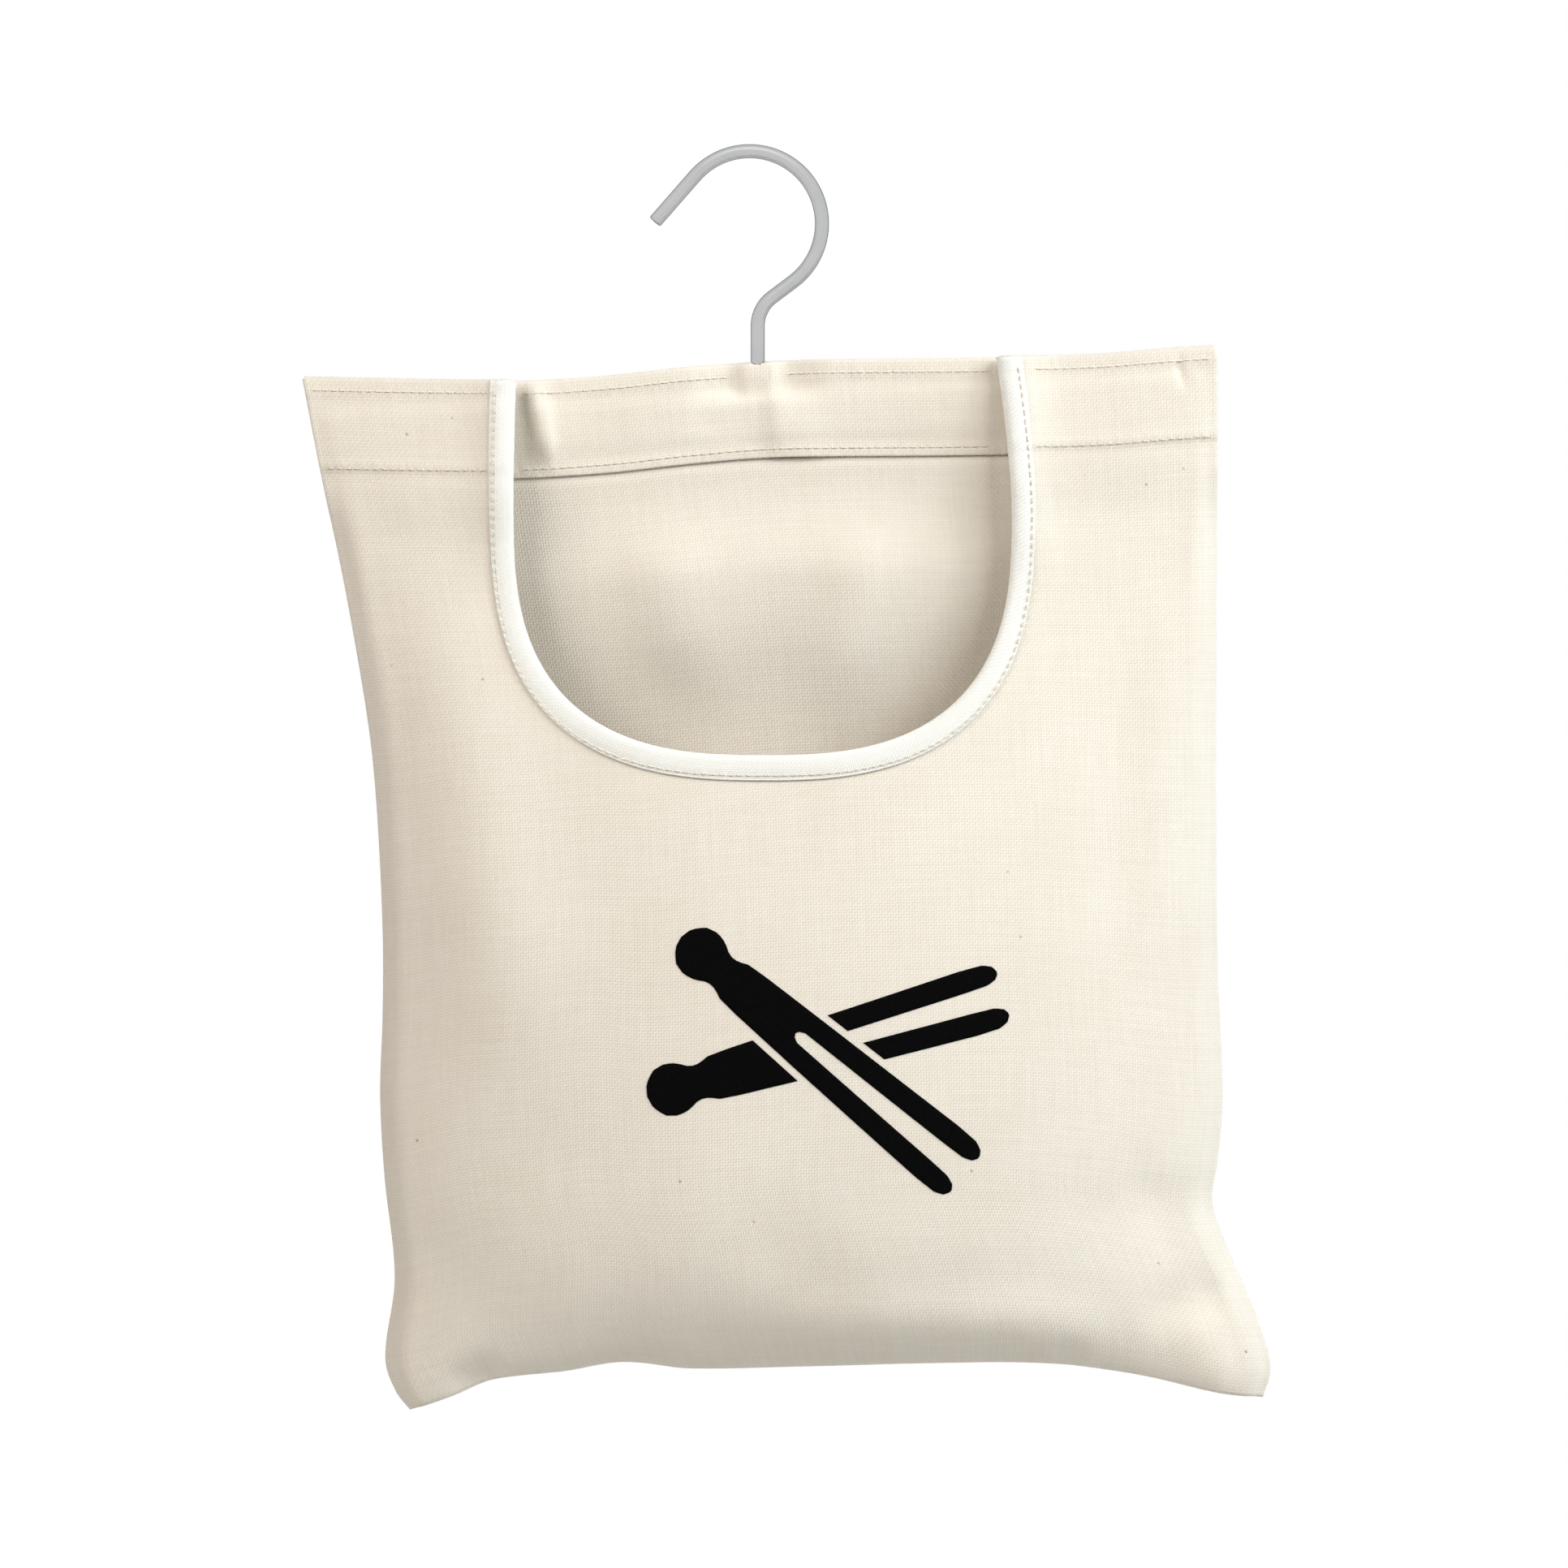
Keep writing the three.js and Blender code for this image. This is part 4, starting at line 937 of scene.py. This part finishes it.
pegPrint = {
    "length": 124, "centre": (19, -233), "lean": math.radians(28), "heads": math.radians(-78),
    "crossing": 58, "parting": 2.4, "taper": 0.037,
    "outline": [(0, 0), (0.6, 3.2), (2, 5.6), (4.5, 7.9), (8.5, 9), (12.5, 8.1), (15.5, 6.3), (18, 5.6),
                (20.5, 6.2), (23, 7.4), (30, 8), (58, 9.2), (112, 11.2), (120, 11), (123, 9.6), (124, 7.8)],
    "slot": [(50, 0), (50.6, 1.2), (52.5, 2.1), (112, 3.6), (120, 4), (123, 5.2), (124, 6.8)],
    "thickness": 0.12, "offCloth": 0.08, "grid": 1.9, "roundEnds": 4.5,
}


def pegHalf(bm, sign):  # one leg's side of a peg, with its share of the body and the head
    widths, slot = np.array(pegPrint["outline"], float), np.array(pegPrint["slot"], float)
    length, ends = pegPrint["length"], pegPrint["roundEnds"]
    fine = np.unique(np.concatenate([
        np.linspace(0, 1, 6) ** 2 * ends, np.arange(6, length - ends, pegPrint["grid"]),
        length - ends * np.linspace(1, 0, 7) ** 2, slot[:3, 0]]))
    part = bmesh.new()
    bmesh.ops.create_grid(part, x_segments=5, y_segments=len(fine) - 1, size=1)
    for vert in part.verts:
        s = fine[round((vert.co.y + 1) / 2 * (len(fine) - 1))]
        outer = float(np.interp(s, *widths.T))
        inner = float(np.interp(s, *slot.T)) if s >= slot[0, 0] else 0.0
        vert.co = Vector((sign * mix(inner, max(outer, inner), (vert.co.x + 1) / 2), 0, -s))
    mesh = bpy.data.meshes.new("pegHalf")
    part.to_mesh(mesh)
    part.free()
    bm.from_mesh(mesh)
    bpy.data.meshes.remove(mesh)


def partAtCrossing(bm, lean):  # cuts the peg that lies behind where the other one crosses it
    other = Matrix.Rotation(-2 * lean, 3, "Y")
    width = float(np.interp(pegPrint["crossing"], *np.array(pegPrint["outline"], float).T))
    reach, taper = width + pegPrint["parting"], pegPrint["taper"]
    for sign in (-1, 1):
        normal = other @ Vector((sign, 0, taper))
        bmesh.ops.bisect_plane(bm, geom=bm.verts[:] + bm.edges[:] + bm.faces[:], dist=1e-4,
                               plane_co=normal * reach, plane_no=normal)

    def crossed(face):
        place = other.transposed() @ face.calc_center_median()
        return abs(place.x) < reach - taper * place.z

    dropFaces(bm, crossed)


def printedPeg(name, lean, behind):
    bm = bmesh.new()
    pegHalf(bm, 1)
    pegHalf(bm, -1)
    bmesh.ops.remove_doubles(bm, verts=bm.verts[:], dist=0.02)
    bmesh.ops.translate(bm, verts=bm.verts[:], vec=(0, 0, pegPrint["crossing"]))
    if behind:
        partAtCrossing(bm, lean)
    bmesh.ops.rotate(bm, verts=bm.verts[:], cent=(0, 0, 0),
                     matrix=Matrix.Rotation(pegPrint["heads"] + lean, 3, "Y"))
    flat = np.array([v.co[:] for v in bm.verts])
    x, z = flat[:, 0] + pegPrint["centre"][0], flat[:, 2] + pegPrint["centre"][1]
    y = frontSkin(x, z) - pegPrint["offCloth"] * slant(frontSkin, x, z)
    for i, vert in enumerate(bm.verts):
        vert.co = toFrame(x[i], y[i], z[i])
    piece = newPiece(name, bm, ink, "bag", ())
    if sum(p.normal.y for p in piece.data.polygons) > 0:
        piece.data.flip_normals()
    thicken(piece, pegPrint["thickness"], 1.0)


printedPeg("printed_peg_front", pegPrint["lean"], False)
printedPeg("printed_peg_behind", -pegPrint["lean"], True)
print("print laid on")

hook = {
    "wire": 2.4, "crown": 24.8, "tailAngle": math.radians(138.8), "tail": 20.9,
    "neckAngle": math.radians(53.1), "neckBend": 12.2, "head": 3.4, "headHeight": 2, "headTop": -92.3,
    "intoHead": 0.5, "tipBevel": 0.6, "headBevel": 0.35, "sides": 24,
}


def pushed(bm, loop, move, steps):
    for _ in range(steps):
        made = bmesh.ops.extrude_edge_only(bm, edges=loop)["geom"]
        verts = [v for v in made if isinstance(v, bmesh.types.BMVert)]
        bmesh.ops.translate(bm, verts=verts, vec=move / steps)
        loop = [e for e in made if isinstance(e, bmesh.types.BMEdge) and all(v in made for v in e.verts)]
    return loop


def bent(bm, loop, centre, angle, steps):
    made = bmesh.ops.spin(bm, geom=loop, cent=centre, axis=(0, 1, 0), angle=angle, steps=steps,
                          use_merge=False, use_duplicate=False)["geom_last"]
    return [e for e in made if isinstance(e, bmesh.types.BMEdge)]


def rounded(bm, edges, radius, segments):
    bmesh.ops.bevel(bm, geom=edges, offset=radius, segments=segments, profile=0.5,
                    affect="EDGES", material=-1)


def bentHook():
    turn, neckTurn, crown = hook["tailAngle"], hook["neckAngle"], hook["crown"]
    centre = Vector((0, 0, hook["wire"] - crown))
    forward = Vector((math.sin(turn), 0, -math.cos(turn)))
    tip = centre + Vector((math.cos(turn), 0, math.sin(turn))) * crown - forward * hook["tail"]
    bm = bmesh.new()
    frameTurn = forward.to_track_quat("Z", "Y").to_matrix().to_4x4()
    ring = bmesh.ops.create_circle(bm, segments=hook["sides"], radius=hook["wire"],
                                   matrix=Matrix.Translation(tip) @ frameTurn)["verts"]
    loop = list({e for v in ring for e in v.link_edges})
    cap = bmesh.ops.contextual_create(bm, geom=loop)["faces"]
    loop = pushed(bm, loop, forward * hook["tail"], 12)
    loop = bent(bm, loop, centre, turn + neckTurn, 56)
    sideways = Vector((math.cos(neckTurn), 0, -math.sin(neckTurn)))
    end = centre + sideways * crown
    offset = end.x - hang["shankX"]
    bendCut = hook["neckBend"] * math.tan(neckTurn / 2)
    run = Vector((-math.sin(neckTurn), 0, -math.cos(neckTurn))) * (offset / math.sin(neckTurn) - bendCut)
    loop = pushed(bm, loop, run, 6)
    loop = bent(bm, loop, end + run + sideways * hook["neckBend"], -neckTurn, 18)
    shankTop = end.z - offset / math.tan(neckTurn) - bendCut
    length = shankTop - hook["headTop"] + hook["intoHead"]
    loop = pushed(bm, loop, Vector((0, 0, -length)), 8)
    bmesh.ops.contextual_create(bm, geom=loop)
    rounded(bm, [e for f in cap if f.is_valid for e in f.edges], hook["tipBevel"], 4)
    headPlace = (hang["shankX"], 0, hook["headTop"] - hook["headHeight"] / 2)
    head = bmesh.ops.create_cone(bm, cap_ends=True, segments=32, radius1=hook["head"], radius2=hook["head"],
                                 depth=hook["headHeight"], matrix=Matrix.Translation(headPlace))["verts"]
    sharp = [e for e in {e for v in head for e in v.link_edges}
             if abs(e.verts[0].co.z - e.verts[1].co.z) < 1e-4]
    rounded(bm, sharp, hook["headBevel"], 3)
    bmesh.ops.scale(bm, verts=bm.verts[:], vec=(0.001, 0.001, 0.001))
    newPiece("wire_hook", bm, steel, "hook", ["hook"])


bentHook()
print("hook bent")

for name, material in {"hook_washer": steel, "hanger_bar": beech, "left_seam_overlock": thread,
                       "right_seam_overlock": thread, "bottom_seam_overlock": thread}.items():
    part = frame["nodes"][name]
    part.data.materials.clear()
    part.data.materials.append(material)

stage = {
    "floor": -0.9, "floorRadius": 0.7, "floorFade": (0.42, 0.686), "floorColour": "#F4F4F2",
    "floorRoughness": 0.9, "ambient": 0.02, "ambientColour": "#FFFEFB",
    "aim": (0.012, 0.0, -0.24), "away": 1.9, "size": 1.2,
    # degrees round from the front, degrees up, watts, colour
    "lamps": {
        "top": (0, 50, 2, "#FFFEFC"), "left": (-45, 25, 24.2, "#FFF9F5"),
        "right": (45, 25, 22.6, "#FBFEFF"), "edge": (75, 25, 25, "#EFF7FF"),
        "behind": (180, 4, 27, "#FFFDFA"),
    },
}
view = {"centre": (0.0118, -0.2142), "away": 1.8, "field": 0.5367, "sensor": 36}

for name, (around, up, power, colour) in stage["lamps"].items():
    data = bpy.data.lights.new(name, "AREA")
    data.shape, data.size, data.energy = "SQUARE", stage["size"], power
    data.color = linear(colour)[:3]
    turn, rise = math.radians(around), math.radians(up)
    outward = Vector((math.sin(turn) * math.cos(rise), -math.cos(turn) * math.cos(rise), math.sin(rise)))
    lamp = addObject(name + "_lamp", data)
    lamp.location = Vector(stage["aim"]) + outward * stage["away"]
    lamp.rotation_euler = outward.to_track_quat("Z", "Y").to_euler()
    lamp.visible_glossy = name == "top"  # the wire mirrors the pale room and only this lamp


def seenDirectly(tree):  # 1 for what the camera sees straight, in a reflection or through glass
    path = addNode(tree, "ShaderNodeLightPath", {})
    either = addNode(tree, "ShaderNodeMath", {0: path["Is Camera Ray"], 1: path["Is Glossy Ray"]},
                     operation="ADD")[0]
    return addNode(tree, "ShaderNodeMath", {0: either, 1: path["Is Transmission Ray"]},
                   operation="ADD", use_clamp=True)[0]


world = bpy.data.worlds.new("studio")
world.use_nodes = True
tree = world.node_tree
tree.nodes.clear()
ambient = addNode(tree, "ShaderNodeBackground", {
    "Color": stage["ambientColour"], "Strength": stage["ambient"]})[0]
backdrop = addNode(tree, "ShaderNodeBackground", {"Color": (1, 1, 1, 1), "Strength": 1.0})[0]
shown = addNode(tree, "ShaderNodeMixShader", {0: seenDirectly(tree), 1: ambient, 2: backdrop})[0]
addNode(tree, "ShaderNodeOutputWorld", {"Surface": shown})
bpy.context.scene.world = world

floorMaterial, tree, place = newMaterial("paleStudioFloor")
matt = addNode(tree, "ShaderNodeBsdfPrincipled", {
    "Base Color": stage["floorColour"], "Roughness": stage["floorRoughness"]})[0]
level = addNode(tree, "ShaderNodeMapping", {
    "Vector": place, "Location": (-view["centre"][0], 0, -stage["floor"])})[0]
away = addNode(tree, "ShaderNodeVectorMath", {0: level}, operation="LENGTH")["Value"]
inner, outer = stage["floorFade"]
faded = addNode(tree, "ShaderNodeMapRange", {"Value": away, "From Min": inner, "From Max": outer})[0]
direct = addNode(tree, "ShaderNodeMath", {0: faded, 1: seenDirectly(tree)}, operation="MULTIPLY")[0]
white = addNode(tree, "ShaderNodeEmission", {"Color": (1, 1, 1, 1), "Strength": 1.0})[0]
blend = addNode(tree, "ShaderNodeMixShader", {0: direct, 1: matt, 2: white})[0]
addNode(tree, "ShaderNodeOutputMaterial", {"Surface": blend})
bm = bmesh.new()
bmesh.ops.create_circle(bm, cap_ends=True, segments=96, radius=stage["floorRadius"],
                        matrix=Matrix.Translation((view["centre"][0], 0, stage["floor"])))
mesh = bpy.data.meshes.new("studio_floor")
bm.to_mesh(mesh)
bm.free()
mesh.materials.append(floorMaterial)
floor = addObject("studio_floor", mesh)
floor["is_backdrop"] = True

cameraData = bpy.data.cameras.new("camera")
cameraData.sensor_width = view["sensor"]
cameraData.lens = view["sensor"] * view["away"] / view["field"]
camera = addObject("camera", cameraData)
camera.location = (view["centre"][0], -view["away"], view["centre"][1])
camera.rotation_euler = (math.radians(90), 0, 0)
bpy.context.scene.camera = camera
bpy.context.scene.view_settings.view_transform = "Standard"
print("stage set")

low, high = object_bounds()
